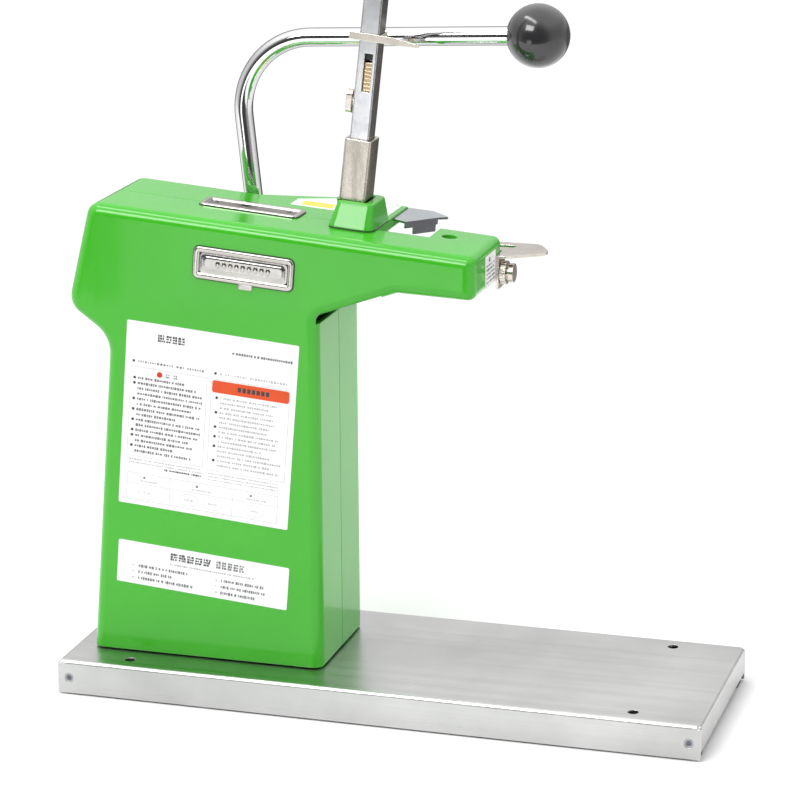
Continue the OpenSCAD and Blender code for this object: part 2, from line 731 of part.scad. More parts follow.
// Bell crank on the shaft: one arm drives the ram, the other pulls the spring
module drive_arm() {
    t = 6;
    color("slategray") difference() {
        union() {
            pin_y(shaft_x, shaft_z, 24, -9, 9);
            lever_plane(0) rotate([0, 0, 90 + arm_rest]) translate([0, 0, -t / 2])
                linear_extrude(t) polygon(rounded([
                    [0, -7, 1], [arm_r + 6, -6, 5], [arm_r + 6, 6, 5], [0, 7, 1]]));
            lever_plane(0) rotate([0, 0, 180 + arm_rest]) translate([0, 0, -t / 2])
                linear_extrude(t) polygon(rounded([
                    [0, -9, 1], [spring_r + 5, -5, 4], [spring_r + 5, 5, 4], [0, 9, 1]]));
        }
        pin_y(shaft_x, shaft_z, shaft_d + 0.1, -20, 20);
        lever_plane(0) rotate([0, 0, 90 + arm_rest]) translate([arm_r, 0, -10]) cylinder(d = 6, h = 20);
        lever_plane(0) rotate([0, 0, 180 + arm_rest]) translate([spring_r, 0, -10]) cylinder(d = 4, h = 20);
    }
}

module arm_roller() {
    color("silver") lever_plane(0) rotate([0, 0, 90 + arm_rest]) translate([arm_r, 0, 0]) {
        translate([0, 0, -ram_y / 2 + 1]) cylinder(d = 6, h = ram_y - 2);
        for (z = [3, -7]) translate([0, 0, z]) cylinder(d = roller_d, h = 4);
    }
}

// ---------- ram, guide and anvil ----------

// Heights along the head's own upright, measured at the roller's middle stroke
arm_x = shaft_x - arm_r * sin(arm_rest) - col_rear;
yoke_x = arm_x * cos(tilt) - (shaft_z - deck_z + arm_r * cos(arm_rest)) * sin(tilt);
mag_u = head_x(mag_x - col_rear) - (head_h - ram_w) * tan(mag_lean - tilt);
ram_front = mag_u - rail_x / 2 - 1.2;
guide_rear = 112;
guide_front = 145;
nose_y = 10.3;
nose_l = 14;
yoke_l = 18;
anvil_y = mag_y;
anvil_face = slot_u + 12;
anvil_screw_x = slot_u + slot_w + 10.7;

// Slide with a slotted yoke at its tail and a narrow nose that pushes the clip
module ram() {
    color("silver") head() difference() {
        union() {
            block(yoke_x, ram_front - nose_l, mag_y - ram_y / 2, mag_y + ram_y / 2,
                ram_w - ram_h / 2, ram_w + ram_h / 2);
            block(yoke_x - yoke_l, yoke_x + yoke_l, mag_y - ram_y / 2, mag_y + ram_y / 2,
                ram_w - 14, ram_w + ram_h / 2 + 3);
            block(ram_front - nose_l - 1, ram_front, mag_y - 4, mag_y + 4, ram_w - 4, ram_w + 4);
        }
        block(yoke_x - roller_d / 2 - 0.6, yoke_x + roller_d / 2 + 0.6, -20, 20, ram_w - 30, ram_w + 6.4);
        block(yoke_x - yoke_l + 3, yoke_x + yoke_l - 3, -3.6, 3.6, ram_w - 40, ram_w + 6.6);
    }
}

module clip_guide() {
    gap_y = ram_y / 2 + ram_clear;
    gap_z = ram_h / 2 + ram_clear;
    s = 2 * (sleeve_wall + seat_clear + slide_clear);
    color("slategray") difference() {
        union() {
            head() block(guide_rear, guide_front, -plate_y, plate_y, ram_w - 14, head_h - wall - 0.3);
            head() block(guide_front - 1, slot_u - 1, mag_y - nose_y, mag_y + nose_y,
                ram_w - 14, head_h - shelf_t - 0.4);
        }
        head() block(0, 400, mag_y - gap_y, mag_y + gap_y, ram_w - gap_z, ram_w + gap_z);
        for (u = guide_bolt_u) head() pin_y(u, guide_bolt_w, 4.2, -40, 40);
        magazine() translate([0, 0, 16]) cube([rail_x + s, rail_y + s, 60], center = true);
    }
}

// Forming anvil that reaches back into the slot from the nose
module anvil() {
    color("silver") head() difference() {
        block(anvil_face, anvil_screw_x + 6, anvil_y - 6, anvil_y + 6, ram_w - 7, ram_w + 7);
        translate([anvil_face, anvil_y - 8, ram_w]) rotate([-90, 0, 0]) cylinder(d = 6, h = 16);
    }
}

module anvil_screw() {
    color("gray") head() translate([anvil_screw_x, 1, ram_w + 7]) difference() {
        cylinder(d = 6, h = 5);
        translate([0, 0, 2.5]) cylinder(d = 3.4, h = 4, $fn = 6);
    }
}

// ---------- return spring and bumper ----------

spring_turns = 12;
spring_od = 14;
spring_wire = 2;
spring_sides = 6;
spring_steps = 12;

function coil_point(i) =
    let (n = spring_turns * spring_steps, r = (spring_od - spring_wire) / 2)
    [r * cos(360 * i / spring_steps), r * sin(360 * i / spring_steps), i / n];

module return_spring() {
    low = spring_low + 8;
    high = spring_top - 8;
    n = spring_turns * spring_steps;
    r = (spring_od - spring_wire) / 2;
    rings = [for (i = [0 : n], k = [0 : spring_sides - 1])
        let (a = 360 * i / spring_steps, b = 360 * k / spring_sides, rr = r + spring_wire / 2 * cos(b))
        [rr * cos(a), rr * sin(a), low + (high - low) * i / n + spring_wire / 2 * sin(b)]];
    faces = concat(
        [for (k = [1 : spring_sides - 2]) [0, k + 1, k]],
        [for (k = [1 : spring_sides - 2]) [n * spring_sides, n * spring_sides + k, n * spring_sides + k + 1]],
        [for (i = [0 : n - 1], k = [0 : spring_sides - 1])
            let (j = (k + 1) % spring_sides, a = i * spring_sides, b = a + spring_sides)
            each [[a + k, a + j, b + j], [a + k, b + j, b + k]]]);
    color("silver") translate([spring_x, 0, 0]) {
        polyhedron(rings, faces);
        for (z = [low, high]) translate([-1, -0.7, z - 0.7]) cube([r + 1, 1.4, 1.4]);
        translate([-1, -0.7, spring_low + 3]) cube([1.4, 1.4, low - spring_low - 3]);
        translate([-1, -0.7, high]) cube([1.4, 1.4, spring_top - 5.9 - high]);
    }
}

module spring_anchor() {
    color("gray") pin_y(spring_x, spring_low, 6, -plate_y - plate_t, plate_y + plate_t);
}

// Rubber block that the ram's tail comes back to
module rest_bumper() {
    stop = yoke_x - yoke_l - slide_clear;
    color([0.08, 0.08, 0.08]) head() block(stop - 8, stop, -plate_y, plate_y, ram_w - 10, ram_w + 2);
}

// ---------- guide plates and thumbscrew ----------

guide_t = 1.5;
guide_screw_x = [slot_u - 20, slot_u - 8];

module rear_guide_holes() {
    for (x = guide_screw_x) head() pin_y(x, head_h - shelf_t / 2 - 0.4, 2.5, shelf_y - 6, shelf_y + 4);
}

module rear_guide_plate() {
    z = head_h - 1.2;
    y0 = shelf_y + 0.1;
    color([0.6, 0.62, 0.64]) head() difference() {
        union() {
            block(slot_u - 26, slot_u + 16.5, y0, y0 + guide_t, z - 9, z);
            translate([0, 0, z - guide_t]) linear_extrude(guide_t) polygon(rounded([
                [slot_u + 0.6, y0 + guide_t, 0.3], [slot_u + 0.6, 30, 0.5], [slot_u + 9.4, 27, 1],
                [slot_u + 24.5, 49.5, 1], [slot_u + 30, 54, 1], [slot_u + 17, y0 + guide_t, 1]]));
            translate([slot_u + 9.4, 27, z]) rotate([0, 0, 56.1]) {
                block(0, 26.5, 0, guide_t, -4.5, 0);
                block(7, 25, 0, guide_t, -9, -4);
            }
        }
        for (x = guide_screw_x) pin_y(x, head_h - shelf_t / 2 - 0.4, 3.4, y0 - 1, y0 + 4);
    }
}

module guide_screws() {
    y0 = shelf_y + 0.1 + guide_t;
    color("silver") for (x = guide_screw_x) head() {
        pin_y(x, head_h - shelf_t / 2 - 0.4, 2.5, shelf_y - 5, y0 + 1);
        pin_y(x, head_h - shelf_t / 2 - 0.4, 5.4, y0, y0 + 1.8);
    }
}

thumb_y = 15;
thumb_d = 4.8;
thumb_h = 19.5;
tongue_t = 1.6;

// Frame at the thumbscrew: Z along its axis, out of the nose
module thumb_spot(dx) {
    translate([nose_end + dx, thumb_y, deck_z + beam_z - 15.5 + thumb_h]) rotate([0, 90, 0]) children();
}

module front_guide_plate() {
    z = deck_z + top_z(nose_end) - 9.5;
    x0 = nose_end + slide_clear;
    color("gainsboro") difference() {
        union() {
            translate([0, 0, z - tongue_t]) linear_extrude(tongue_t) polygon(rounded([
                [x0, 7, 0.3], [x0 + 6, 7, 1], [x0 + 31, 23, 9], [x0 + 19, 45, 8],
                [x0 - 9, 45, 2], [x0 - 9, nose_far + 2, 1], [x0, nose_far + 2, 0.3]]));
            block(x0, x0 + tongue_t, 7, nose_far + 2, z - 21.5, z);
        }
        translate([x0 - 2, 34.5, z - 3]) rounded_plate(15, 6, 6, 2.9);
        translate([x0 - 1, thumb_y, thumb_height()]) rotate([0, 90, 0]) cylinder(d = 5.6, h = 5);
        for (s = [-3, 3]) translate([x0 - 1, thumb_y, thumb_height() + s]) rotate([0, 90, 0])
            cylinder(d = 5.6, h = 5);
        block(x0 - 1, x0 + 4, thumb_y - 2.8, thumb_y + 2.8, thumb_height() - 3, thumb_height() + 3);
    }
}

function thumb_height() = deck_z + beam_z - 15.5 + thumb_h;

module thumb_screw() {
    grip = slide_clear + tongue_t + 0.3;
    color("gainsboro") thumb_spot(0) {
        translate([0, 0, -10]) cylinder(d = thumb_d, h = 16);
        difference() {
            union() {
                translate([0, 0, grip]) cylinder(d = 15, h = 3.6);
                translate([0, 0, grip + 3]) cylinder(d = 8, h = 3);
                translate([0, 0, grip + 5]) cylinder(d = 12, h = 3);
            }
            for (a = [0 : 15 : 345])
                rotate([0, 0, a]) translate([7.6, 0, grip - 1]) cylinder(d = 0.9, h = 6, $fn = 4);
        }
    }
}

// ---------- the machine ----------

base_tray();
tray_screws();
corner_feet();
column_bolts();
frame_foot();
frame_near_plate();
frame_far_plate();
frame_spacers();
frame_bolts();
near_cover();
far_cover();
cover_screws();
side_label_upper();
side_label_lower();
top_label();
end_label();
side_badge_frame();
side_badge_plate();
top_badge_frame();
top_badge_plate();
magazine_boot();
magazine_sleeve();
magazine_rail();
rail_catch();
clip_stick();
clip_pusher();
pusher_band();
lever_rod();
ball_knob();
lever_hub();
hub_screw();
lever_shaft();
shaft_nut();
shaft_bushes();
drive_arm();
arm_roller();
ram();
clip_guide();
anvil();
anvil_screw();
return_spring();
spring_anchor();
rest_bumper();
rear_guide_plate();
guide_screws();
front_guide_plate();
thumb_screw();
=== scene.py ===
"""Looks of a hand-worked bench machine that closes the neck of a bag with a metal clip."""
import json
import math
import random

import bmesh
import bpy
from mathutils import Matrix, Vector


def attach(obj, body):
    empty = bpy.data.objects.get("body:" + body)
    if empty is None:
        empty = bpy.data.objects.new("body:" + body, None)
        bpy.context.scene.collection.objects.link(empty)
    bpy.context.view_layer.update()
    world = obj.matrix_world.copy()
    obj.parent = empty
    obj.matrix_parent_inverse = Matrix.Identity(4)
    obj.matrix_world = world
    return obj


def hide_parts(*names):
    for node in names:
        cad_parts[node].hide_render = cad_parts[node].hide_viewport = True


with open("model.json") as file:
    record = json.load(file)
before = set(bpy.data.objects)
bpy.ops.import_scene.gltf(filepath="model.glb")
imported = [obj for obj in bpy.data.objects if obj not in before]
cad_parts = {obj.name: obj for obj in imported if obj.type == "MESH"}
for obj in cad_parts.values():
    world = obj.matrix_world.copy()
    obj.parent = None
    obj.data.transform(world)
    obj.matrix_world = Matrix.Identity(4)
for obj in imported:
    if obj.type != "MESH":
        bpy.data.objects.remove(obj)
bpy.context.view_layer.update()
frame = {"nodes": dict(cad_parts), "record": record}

# ---------------------------------------------------------------- sizes, in millimetres

MM = 0.001
TILT = math.radians(4.7)
LEAN = math.radians(6.4)
DECK = 23.0
COL_REAR = -194.3
HEEL = 2.6
COL_FRONT = -40.7
HALF_W = 44.0
HEAD_H = 294.5
NOSE_END = 59.3
NOSE_FAR = 21.0
SLOT_REAR, SLOT_FRONT = -13.5, 21.0
SLOT_U = 157.3
SHELF_Y = 62.0
SHELF_T = 6.5
RIM_R = 7.5
SHAFT = Vector((-112.6, 0.0, 267.0))
LEVER_Y = 58.0
ROD_D = 12.0
KNOB_D = 40.0
MAG_X, MAG_Y = -31.0, 3.0
MAG_GAP = 0.2
TRAY_SCREW_X, TRAY_SIDE_Y, TRAY_SCREW_Z = 202.5, 72, 11.5
BADGE_L, BADGE_W = 65.5, 20.5


def top_z(x):
    """Height of the head's tilted top over the deck."""
    return (HEAD_H - (x - COL_REAR) * math.sin(TILT)) / math.cos(TILT)


def rear_line(z):
    """Rear face of the column, which leans with the head."""
    return COL_REAR - HEEL + z * math.tan(TILT)


def turn(angle, axis):
    """Rotation about one of the machine's axes."""
    return Matrix.Rotation(angle, 4, axis)


def move(x, y, z):
    """Shift, in millimetres until placed() makes it metres."""
    return Matrix.Translation((x, y, z))


HEAD = move(COL_REAR, 0, DECK) @ turn(TILT, "Y")
MAGAZINE = move(MAG_X, MAG_Y, DECK + top_z(MAG_X) + MAG_GAP) @ turn(LEAN, "Y")

# The housing seen from the side: (x, height over the deck, corner radius), from the heel forwards
# and round by the nose and the top to the bulge behind the head.
FOOT_Z = 1
UNDER_Z, BEAM_Z = HEAD_H - 63.5, HEAD_H - 45.5
BEAM_X = SLOT_REAR + 23
BEAM_DROP = 2
REAR_X = COL_REAR + 3.5
BULGE_X, BULGE_Z = COL_REAR - 10.5 - HEEL, HEAD_H - 66.3
HIP_Z = BULGE_Z - 19.9
HOUSING = [
    (rear_line(FOOT_Z), FOOT_Z, 0.4), (COL_FRONT, FOOT_Z, 0.4), (COL_FRONT, UNDER_Z, 4),
    (BEAM_X, BEAM_Z, 6), (NOSE_END, BEAM_Z - BEAM_DROP, 5), (NOSE_END, top_z(NOSE_END), 5),
    (REAR_X, top_z(REAR_X), 9), (BULGE_X, BULGE_Z, 13), (rear_line(HIP_Z), HIP_Z, 20),
]

# ---------------------------------------------------------------- mesh helpers


def outline(pts, depth=0.0, kept=(), steps=8):
    """Corner points (x, y, radius) as a rounded outline, moved in by depth except on kept edges."""
    count = len(pts)

    def edge(i):
        a, b = Vector(pts[i % count][:2]), Vector(pts[(i + 1) % count][:2])
        along = (b - a).normalized()
        shift = 0.0 if i % count in kept else depth
        return a + Vector((-along.y, along.x)) * shift, along

    out = []
    for i in range(count):
        (p, d), (q, e) = edge(i - 1), edge(i)
        cross = d.x * e.y - d.y * e.x
        gap = q - p
        corner = p + d * ((gap.x * e.y - gap.y * e.x) / cross)
        radius = max(pts[i][2] - depth, 0.05) if cross > 0 else pts[i][2] + depth
        half = math.acos(max(-1.0, min(1.0, -d.dot(e)))) / 2
        run = radius / math.tan(half)
        centre = corner + (e - d).normalized() * radius / math.sin(half)
        start, stop = corner - d * run - centre, corner + e * run - centre
        a0 = math.atan2(start.y, start.x)
        sweep = (math.atan2(stop.y, stop.x) - a0 + math.pi) % (2 * math.pi) - math.pi
        for k in range(steps + 1):
            a = a0 + sweep * k / steps
            out.append(centre + Vector((math.cos(a), math.sin(a))) * radius)
    return out


def rectangle(length, width, radius):
    """Corner points of a rectangle about the origin."""
    x, y = length / 2, width / 2
    return [(-x, -y, radius), (x, -y, radius), (x, y, radius), (-x, y, radius)]


def quarter(steps):
    """Sine and 1 - cosine over a quarter turn, for rolling an edge over."""
    angles = [math.pi / 2 * k / steps for k in range(steps + 1)]
    return [(math.sin(a), 1 - math.cos(a)) for a in angles]


def skin(name, rings, capped=True, closed=False):
    """Mesh object through rings of points with the same count, in millimetres."""
    bm = bmesh.new()
    rows = [[bm.verts.new(Vector(p) * MM) for p in ring] for ring in rings]
    pairs = list(zip(rows, rows[1:])) + ([(rows[-1], rows[0])] if closed else [])
    for a, b in pairs:
        for k in range(len(a)):
            j = (k + 1) % len(a)
            bm.faces.new((a[k], a[j], b[j], b[k]))
    if capped and not closed:
        bm.faces.new(rows[0][::-1])
        bm.faces.new(rows[-1])
    return finished(name, bm)


def finished(name, bm, weld=0.00002, sharp=32):
    """Object from a bmesh: welded, facing outwards, and smooth except over sharp edges."""
    bmesh.ops.remove_doubles(bm, verts=bm.verts, dist=weld)
    bmesh.ops.dissolve_degenerate(bm, edges=bm.edges, dist=weld / 2)
    bmesh.ops.recalc_face_normals(bm, faces=bm.faces)
    mesh = bpy.data.meshes.new(name)
    obj = bpy.data.objects.new(name, mesh)
    bpy.context.scene.collection.objects.link(obj)
    smooth(bm, sharp)
    bm.to_mesh(mesh)
    bm.free()
    return obj


def smooth(bm, sharp):
    """Smooth shading, except over edges that turn by more than sharp degrees."""
    limit = math.radians(sharp)
    for face in bm.faces:
        face.smooth = True
    for e in bm.edges:
        e.smooth = len(e.link_faces) == 2 and e.calc_face_angle(0.0) < limit


def even_normals(obj):
    """Large flat faces keep flat shading next to rolled edges."""
    mod = obj.modifiers.new("even", "WEIGHTED_NORMAL")
    mod.keep_sharp = True
    mod.weight = 80
    return obj


def combined(a, b, how, sharp=32):
    """The solid a cut, kept or joined by the solid b; both are used up."""
    mod = a.modifiers.new("combine", "BOOLEAN")
    mod.operation, mod.solver, mod.object = how, "EXACT", b
    bpy.context.view_layer.update()
    worked = a.evaluated_get(bpy.context.evaluated_depsgraph_get())
    mesh = bpy.data.meshes.new_from_object(worked)
    bm = bmesh.new()
    bm.from_mesh(mesh)
    name = a.name
    bpy.data.objects.remove(a)
    bpy.data.objects.remove(b)
    a = finished(name, bm, weld=0.00001, sharp=sharp)
    a.name = name
    return a


def copy_of(node, name):
    """A welded copy of a CAD node's solid, as a start for a piece that stands for it."""
    bm = bmesh.new()
    bm.from_mesh(frame["nodes"][node].data)
    return finished(name, bm, weld=0.000005)


def placed(obj, matrix):
    """Puts a mesh made in a part's own frame (millimetres) into the machine's frame."""
    shift = matrix.copy()
    shift.translation = shift.translation * MM
    obj.data.transform(shift)
    return obj


def lathe(name, profile, steps=64):
    """Turned piece about Z from (radius, height) points."""
    rings = []
    for r, z in profile:
        angles = [2 * math.pi * k / steps for k in range(steps)]
        rings.append([(r * math.cos(a), r * math.sin(a), z) for a in angles])
    return skin(name, rings)


def tube(name, path, radius, sides=32):
    """Round bar along a path of points, all in one plane square to Y."""
    rings = []
    for i, p in enumerate(path):
        along = (path[min(i + 1, len(path) - 1)] - path[max(i - 1, 0)]).normalized()
        across = Vector((0, 1, 0))
        up = along.cross(across).normalized()
        angles = [2 * math.pi * k / sides for k in range(sides)]
        rings.append([p + (across * math.cos(a) + up * math.sin(a)) * radius for a in angles])
    return skin(name, rings)


# ---------------------------------------------------------------- shader helpers


def wire(tree, made, wired):
    """Sets a node's sockets to values, or joins them to other sockets."""
    for key, value in wired.items():
        if isinstance(value, bpy.types.NodeSocket):
            tree.links.new(value, made.inputs[key])
        else:
            made.inputs[key].default_value = value
    return made


def node(tree, kind, wired=None, **settings):
    """A shader node with its settings and its sockets."""
    made = tree.nodes.new(kind)
    for key, value in settings.items():
        setattr(made, key, value)
    return wire(tree, made, wired or {})


def shared(name, sockets, outputs):
    """An empty node group with inputs (name, kind, value) and outputs (name, kind)."""
    group = bpy.data.node_groups.new(name, "ShaderNodeTree")
    for label, kind, value in sockets:
        made = group.interface.new_socket(label, in_out="INPUT", socket_type=kind)
        made.default_value = value
    for label, kind in outputs:
        group.interface.new_socket(label, in_out="OUTPUT", socket_type=kind)
    return group, group.nodes.new("NodeGroupInput"), group.nodes.new("NodeGroupOutput")


FLOAT, VECTOR = "NodeSocketFloat", "NodeSocketVector"


def make_clouds():
    """Slow uneven patches between two values."""
    sockets = [("Size", FLOAT, 20.0), ("Low", FLOAT, 0.0), ("High", FLOAT, 1.0),
               ("Stretch", VECTOR, (1, 1, 1))]
    g, i, o = shared("Patches", sockets, [("Value", FLOAT)])
    at = node(g, "ShaderNodeTexCoord").outputs["Object"]
    scaled = node(g, "ShaderNodeVectorMath", {0: at, 1: i.outputs["Stretch"]},
                  operation="MULTIPLY")
    n = node(g, "ShaderNodeTexNoise", {"Vector": scaled.outputs[0], "Scale": i.outputs["Size"],
                                       "Detail": 5.0, "Roughness": 0.6})
    r = node(g, "ShaderNodeMapRange", {"Value": n.outputs[0], "From Min": 0.3, "From Max": 0.7,
                                       "To Min": i.outputs["Low"], "To Max": i.outputs["High"]})
    g.links.new(r.outputs[0], o.inputs["Value"])
    return g


def make_brushing():
    """Fine parallel lines left by a belt, as a 0-1 value for tone and height."""
    g, i, o = shared("Brushed lines", [("Stretch", VECTOR, (4, 900, 900))], [("Value", FLOAT)])
    at = node(g, "ShaderNodeTexCoord").outputs["Object"]
    scaled = node(g, "ShaderNodeVectorMath", {0: at, 1: i.outputs["Stretch"]},
                  operation="MULTIPLY")
    fine = node(g, "ShaderNodeTexNoise", {"Vector": scaled.outputs[0], "Scale": 1.0,
                                          "Detail": 4.0, "Roughness": 0.7})
    slow = node(g, "ShaderNodeVectorMath", {0: scaled.outputs[0], 1: (0.35, 0.12, 0.12)},
                operation="MULTIPLY")
    broad = node(g, "ShaderNodeTexNoise", {"Vector": slow.outputs[0], "Scale": 1.0,
                                           "Detail": 2.0, "Roughness": 0.5})
    both = node(g, "ShaderNodeMath", {0: fine.outputs[0], 1: broad.outputs[0]}, operation="ADD")
    half = node(g, "ShaderNodeMath", {0: both.outputs[0], 1: 0.5}, operation="MULTIPLY")
    g.links.new(half.outputs[0], o.inputs["Value"])
    return g


def make_edges():
    """Rolls sharp edges over by a small radius, and says where those edges are."""
    g, i, o = shared("Rolled edges", [("Radius", FLOAT, 0.0006), ("Gain", FLOAT, 6.0)],
                     [("Normal", VECTOR), ("Mask", FLOAT)])
    rolled = node(g, "ShaderNodeBevel", {"Radius": i.outputs["Radius"]}, samples=6)
    flat = node(g, "ShaderNodeNewGeometry").outputs["Normal"]
    same = node(g, "ShaderNodeVectorMath", {0: rolled.outputs[0], 1: flat},
                operation="DOT_PRODUCT")
    off = node(g, "ShaderNodeMath", {0: 1.0, 1: same.outputs["Value"]}, operation="SUBTRACT")
    gain = node(g, "ShaderNodeMath", {0: off.outputs[0], 1: i.outputs["Gain"]},
                operation="MULTIPLY", use_clamp=True)
    g.links.new(rolled.outputs[0], o.inputs["Normal"])
    g.links.new(gain.outputs[0], o.inputs["Mask"])
    return g


def make_specks():
    """Small scattered dust specks and rub marks, as a mask."""
    g, i, o = shared("Specks", [("Size", FLOAT, 900.0), ("Amount", FLOAT, 0.2)], [("Mask", FLOAT)])
    at = node(g, "ShaderNodeTexCoord").outputs["Object"]
    n = node(g, "ShaderNodeTexNoise", {"Vector": at, "Scale": i.outputs["Size"], "Detail": 1.0})
    patch = node(g, "ShaderNodeTexNoise", {"Vector": at, "Scale": 25.0, "Detail": 3.0})
    product = node(g, "ShaderNodeMath", {0: n.outputs[0], 1: patch.outputs[0]},
                   operation="MULTIPLY")
    r = node(g, "ShaderNodeMapRange", {"Value": product.outputs[0], "From Min": 0.38,
                                       "From Max": 0.5, "To Min": 0.0,
                                       "To Max": i.outputs["Amount"]})
    g.links.new(r.outputs[0], o.inputs["Mask"])
    return g


PATCHES, BRUSHED, EDGES, SPECKS = make_clouds(), make_brushing(), make_edges(), make_specks()


def use(tree, group, **wired):
    """A shared effect placed in a material, with this material's own values."""
    return node(tree, "ShaderNodeGroup", wired, node_tree=group)


def shade_between(tree, factor, a, b):
    """Colour a where factor is 0, colour b where it is 1."""
    return node(tree, "ShaderNodeMix", {0: factor, 6: a, 7: b}, data_type="RGBA").outputs[2]


def surface(name, fixed):
    """A new material with a Principled shader and its fixed values: material, tree, shader."""
    made = bpy.data.materials.new(name)
    made.use_nodes = True
    tree = made.node_tree
    tree.nodes.clear()
    shader = node(tree, "ShaderNodeBsdfPrincipled", fixed)
    out = node(tree, "ShaderNodeOutputMaterial")
    tree.links.new(shader.outputs[0], out.inputs[0])
    return made, tree, shader


def rgba(r, g, b):
    """A full, opaque colour."""
    return (r, g, b, 1.0)


def green_enamel():
    """Baked green paint: slight drift of tone, paler edges as painted highlight with some rubbed
    wear, dust and orange peel.
    """
    fixed = {"Coat Weight": 0.3, "Coat Roughness": 0.04, "IOR": 1.47, "Specular IOR Level": 0.42}
    made, tree, shader = surface("green enamel", fixed)
    drift = use(tree, PATCHES, Size=9.0, Low=0.0, High=1.0)
    tint = shade_between(tree, drift.outputs[0], rgba(0.040, 0.40, 0.012),
                         rgba(0.050, 0.445, 0.016))
    edge = use(tree, EDGES, Radius=0.0011, Gain=3.0)
    # Paler green along the edges: a painted highlight where the rolled edges catch the light, with
    # some rubbed wear.
    worn = node(tree, "ShaderNodeMath", {0: edge.outputs["Mask"], 1: 0.22},
                operation="MULTIPLY")
    tint = shade_between(tree, worn.outputs[0], tint, rgba(0.13, 0.62, 0.07))
    dust = use(tree, SPECKS, Size=1400.0, Amount=0.10)
    tint = shade_between(tree, dust.outputs[0], tint, rgba(0.22, 0.45, 0.17))
    tree.links.new(tint, shader.inputs["Base Color"])
    gloss = use(tree, PATCHES, Size=35.0, Low=0.14, High=0.21)
    tree.links.new(gloss.outputs[0], shader.inputs["Roughness"])
    at = node(tree, "ShaderNodeTexCoord").outputs["Object"]
    peel = node(tree, "ShaderNodeTexNoise", {"Vector": at, "Scale": 420.0, "Detail": 2.0})
    bump = node(tree, "ShaderNodeBump", {"Strength": 0.035, "Distance": 0.0006,
                                         "Height": peel.outputs[0],
                                         "Normal": edge.outputs["Normal"]})
    tree.links.new(bump.outputs[0], shader.inputs["Normal"])
    return made


def metal(name, light, dark, rough, stretch=(4, 900, 900), depth=0.05, edge=0.0004,
          patch=30.0, patch_stretch=(1, 1, 1), bright=None):
    """Metal with brushed lines, slow patches of tone and brighter edges, both rubbed wear and
    painted highlight.
    """
    made, tree, shader = surface(name, {"Metallic": 1.0})
    lines = use(tree, BRUSHED, Stretch=stretch)
    tone = use(tree, PATCHES, Size=patch, Low=0.0, High=1.0, Stretch=patch_stretch)
    mixed = node(tree, "ShaderNodeMath", {0: lines.outputs[0], 1: tone.outputs[0]},
                 operation="MULTIPLY")
    tint = shade_between(tree, mixed.outputs[0], rgba(*dark), rgba(*light))
    worn = use(tree, EDGES, Radius=edge, Gain=5.0)
    # Edges brightened towards the bright colour: rubbed wear and a painted highlight.
    tint = shade_between(tree, worn.outputs["Mask"], tint, rgba(*(bright or light)))
    tree.links.new(tint, shader.inputs["Base Color"])
    r = node(tree, "ShaderNodeMapRange", {"Value": lines.outputs[0], "From Min": 0.25,
                                          "From Max": 0.75, "To Min": rough[0],
                                          "To Max": rough[1]})
    tree.links.new(r.outputs[0], shader.inputs["Roughness"])
    bump = node(tree, "ShaderNodeBump", {"Strength": depth, "Distance": 0.0004,
                                         "Height": lines.outputs[0],
                                         "Normal": worn.outputs["Normal"]})
    tree.links.new(bump.outputs[0], shader.inputs["Normal"])
    return made


def polished(name):
    """Mirror plate over steel with a faint rubbed haze."""
    made, tree, shader = surface(name, {"Metallic": 1.0, "Specular Tint": rgba(0.2, 0.2, 0.2)})
    haze = use(tree, SPECKS, Size=500.0, Amount=0.35)
    tint = shade_between(tree, haze.outputs[0], rgba(0.72, 0.72, 0.73),
                         rgba(0.5, 0.5, 0.48))
    tree.links.new(tint, shader.inputs["Base Color"])
    gloss = use(tree, PATCHES, Size=45.0, Low=0.03, High=0.09)
    tree.links.new(gloss.outputs[0], shader.inputs["Roughness"])
    return made


def moulded(name, colour, rough, grain=0.06, size=1800.0, coat=0.0, edge=0.0004,
            dusty=rgba(0.3, 0.3, 0.3), amount=0.12):
    """Plastic, rubber, film or ink: fine grain, dust and slightly uneven gloss."""
    made, tree, shader = surface(name, {"Coat Weight": coat, "Coat Roughness": 0.06})
    drift = use(tree, PATCHES, Size=40.0, Low=0.0, High=1.0)
    darker = rgba(*[c * 0.9 for c in colour])
    tint = shade_between(tree, drift.outputs[0], darker, rgba(*colour))
    dust = use(tree, SPECKS, Size=size, Amount=amount)
    tint = shade_between(tree, dust.outputs[0], tint, dusty)
    tree.links.new(tint, shader.inputs["Base Color"])
    gloss = use(tree, PATCHES, Size=60.0, Low=rough[0], High=rough[1])
    tree.links.new(gloss.outputs[0], shader.inputs["Roughness"])
    at = node(tree, "ShaderNodeTexCoord").outputs["Object"]
    fine = node(tree, "ShaderNodeTexNoise", {"Vector": at, "Scale": size, "Detail": 2.0})
    worn = use(tree, EDGES, Radius=edge)
    bump = node(tree, "ShaderNodeBump", {"Strength": grain, "Distance": 0.0003,
                                         "Height": fine.outputs[0],
                                         "Normal": worn.outputs["Normal"]})
    tree.links.new(bump.outputs[0], shader.inputs["Normal"])
    return made


ENAMEL = green_enamel()
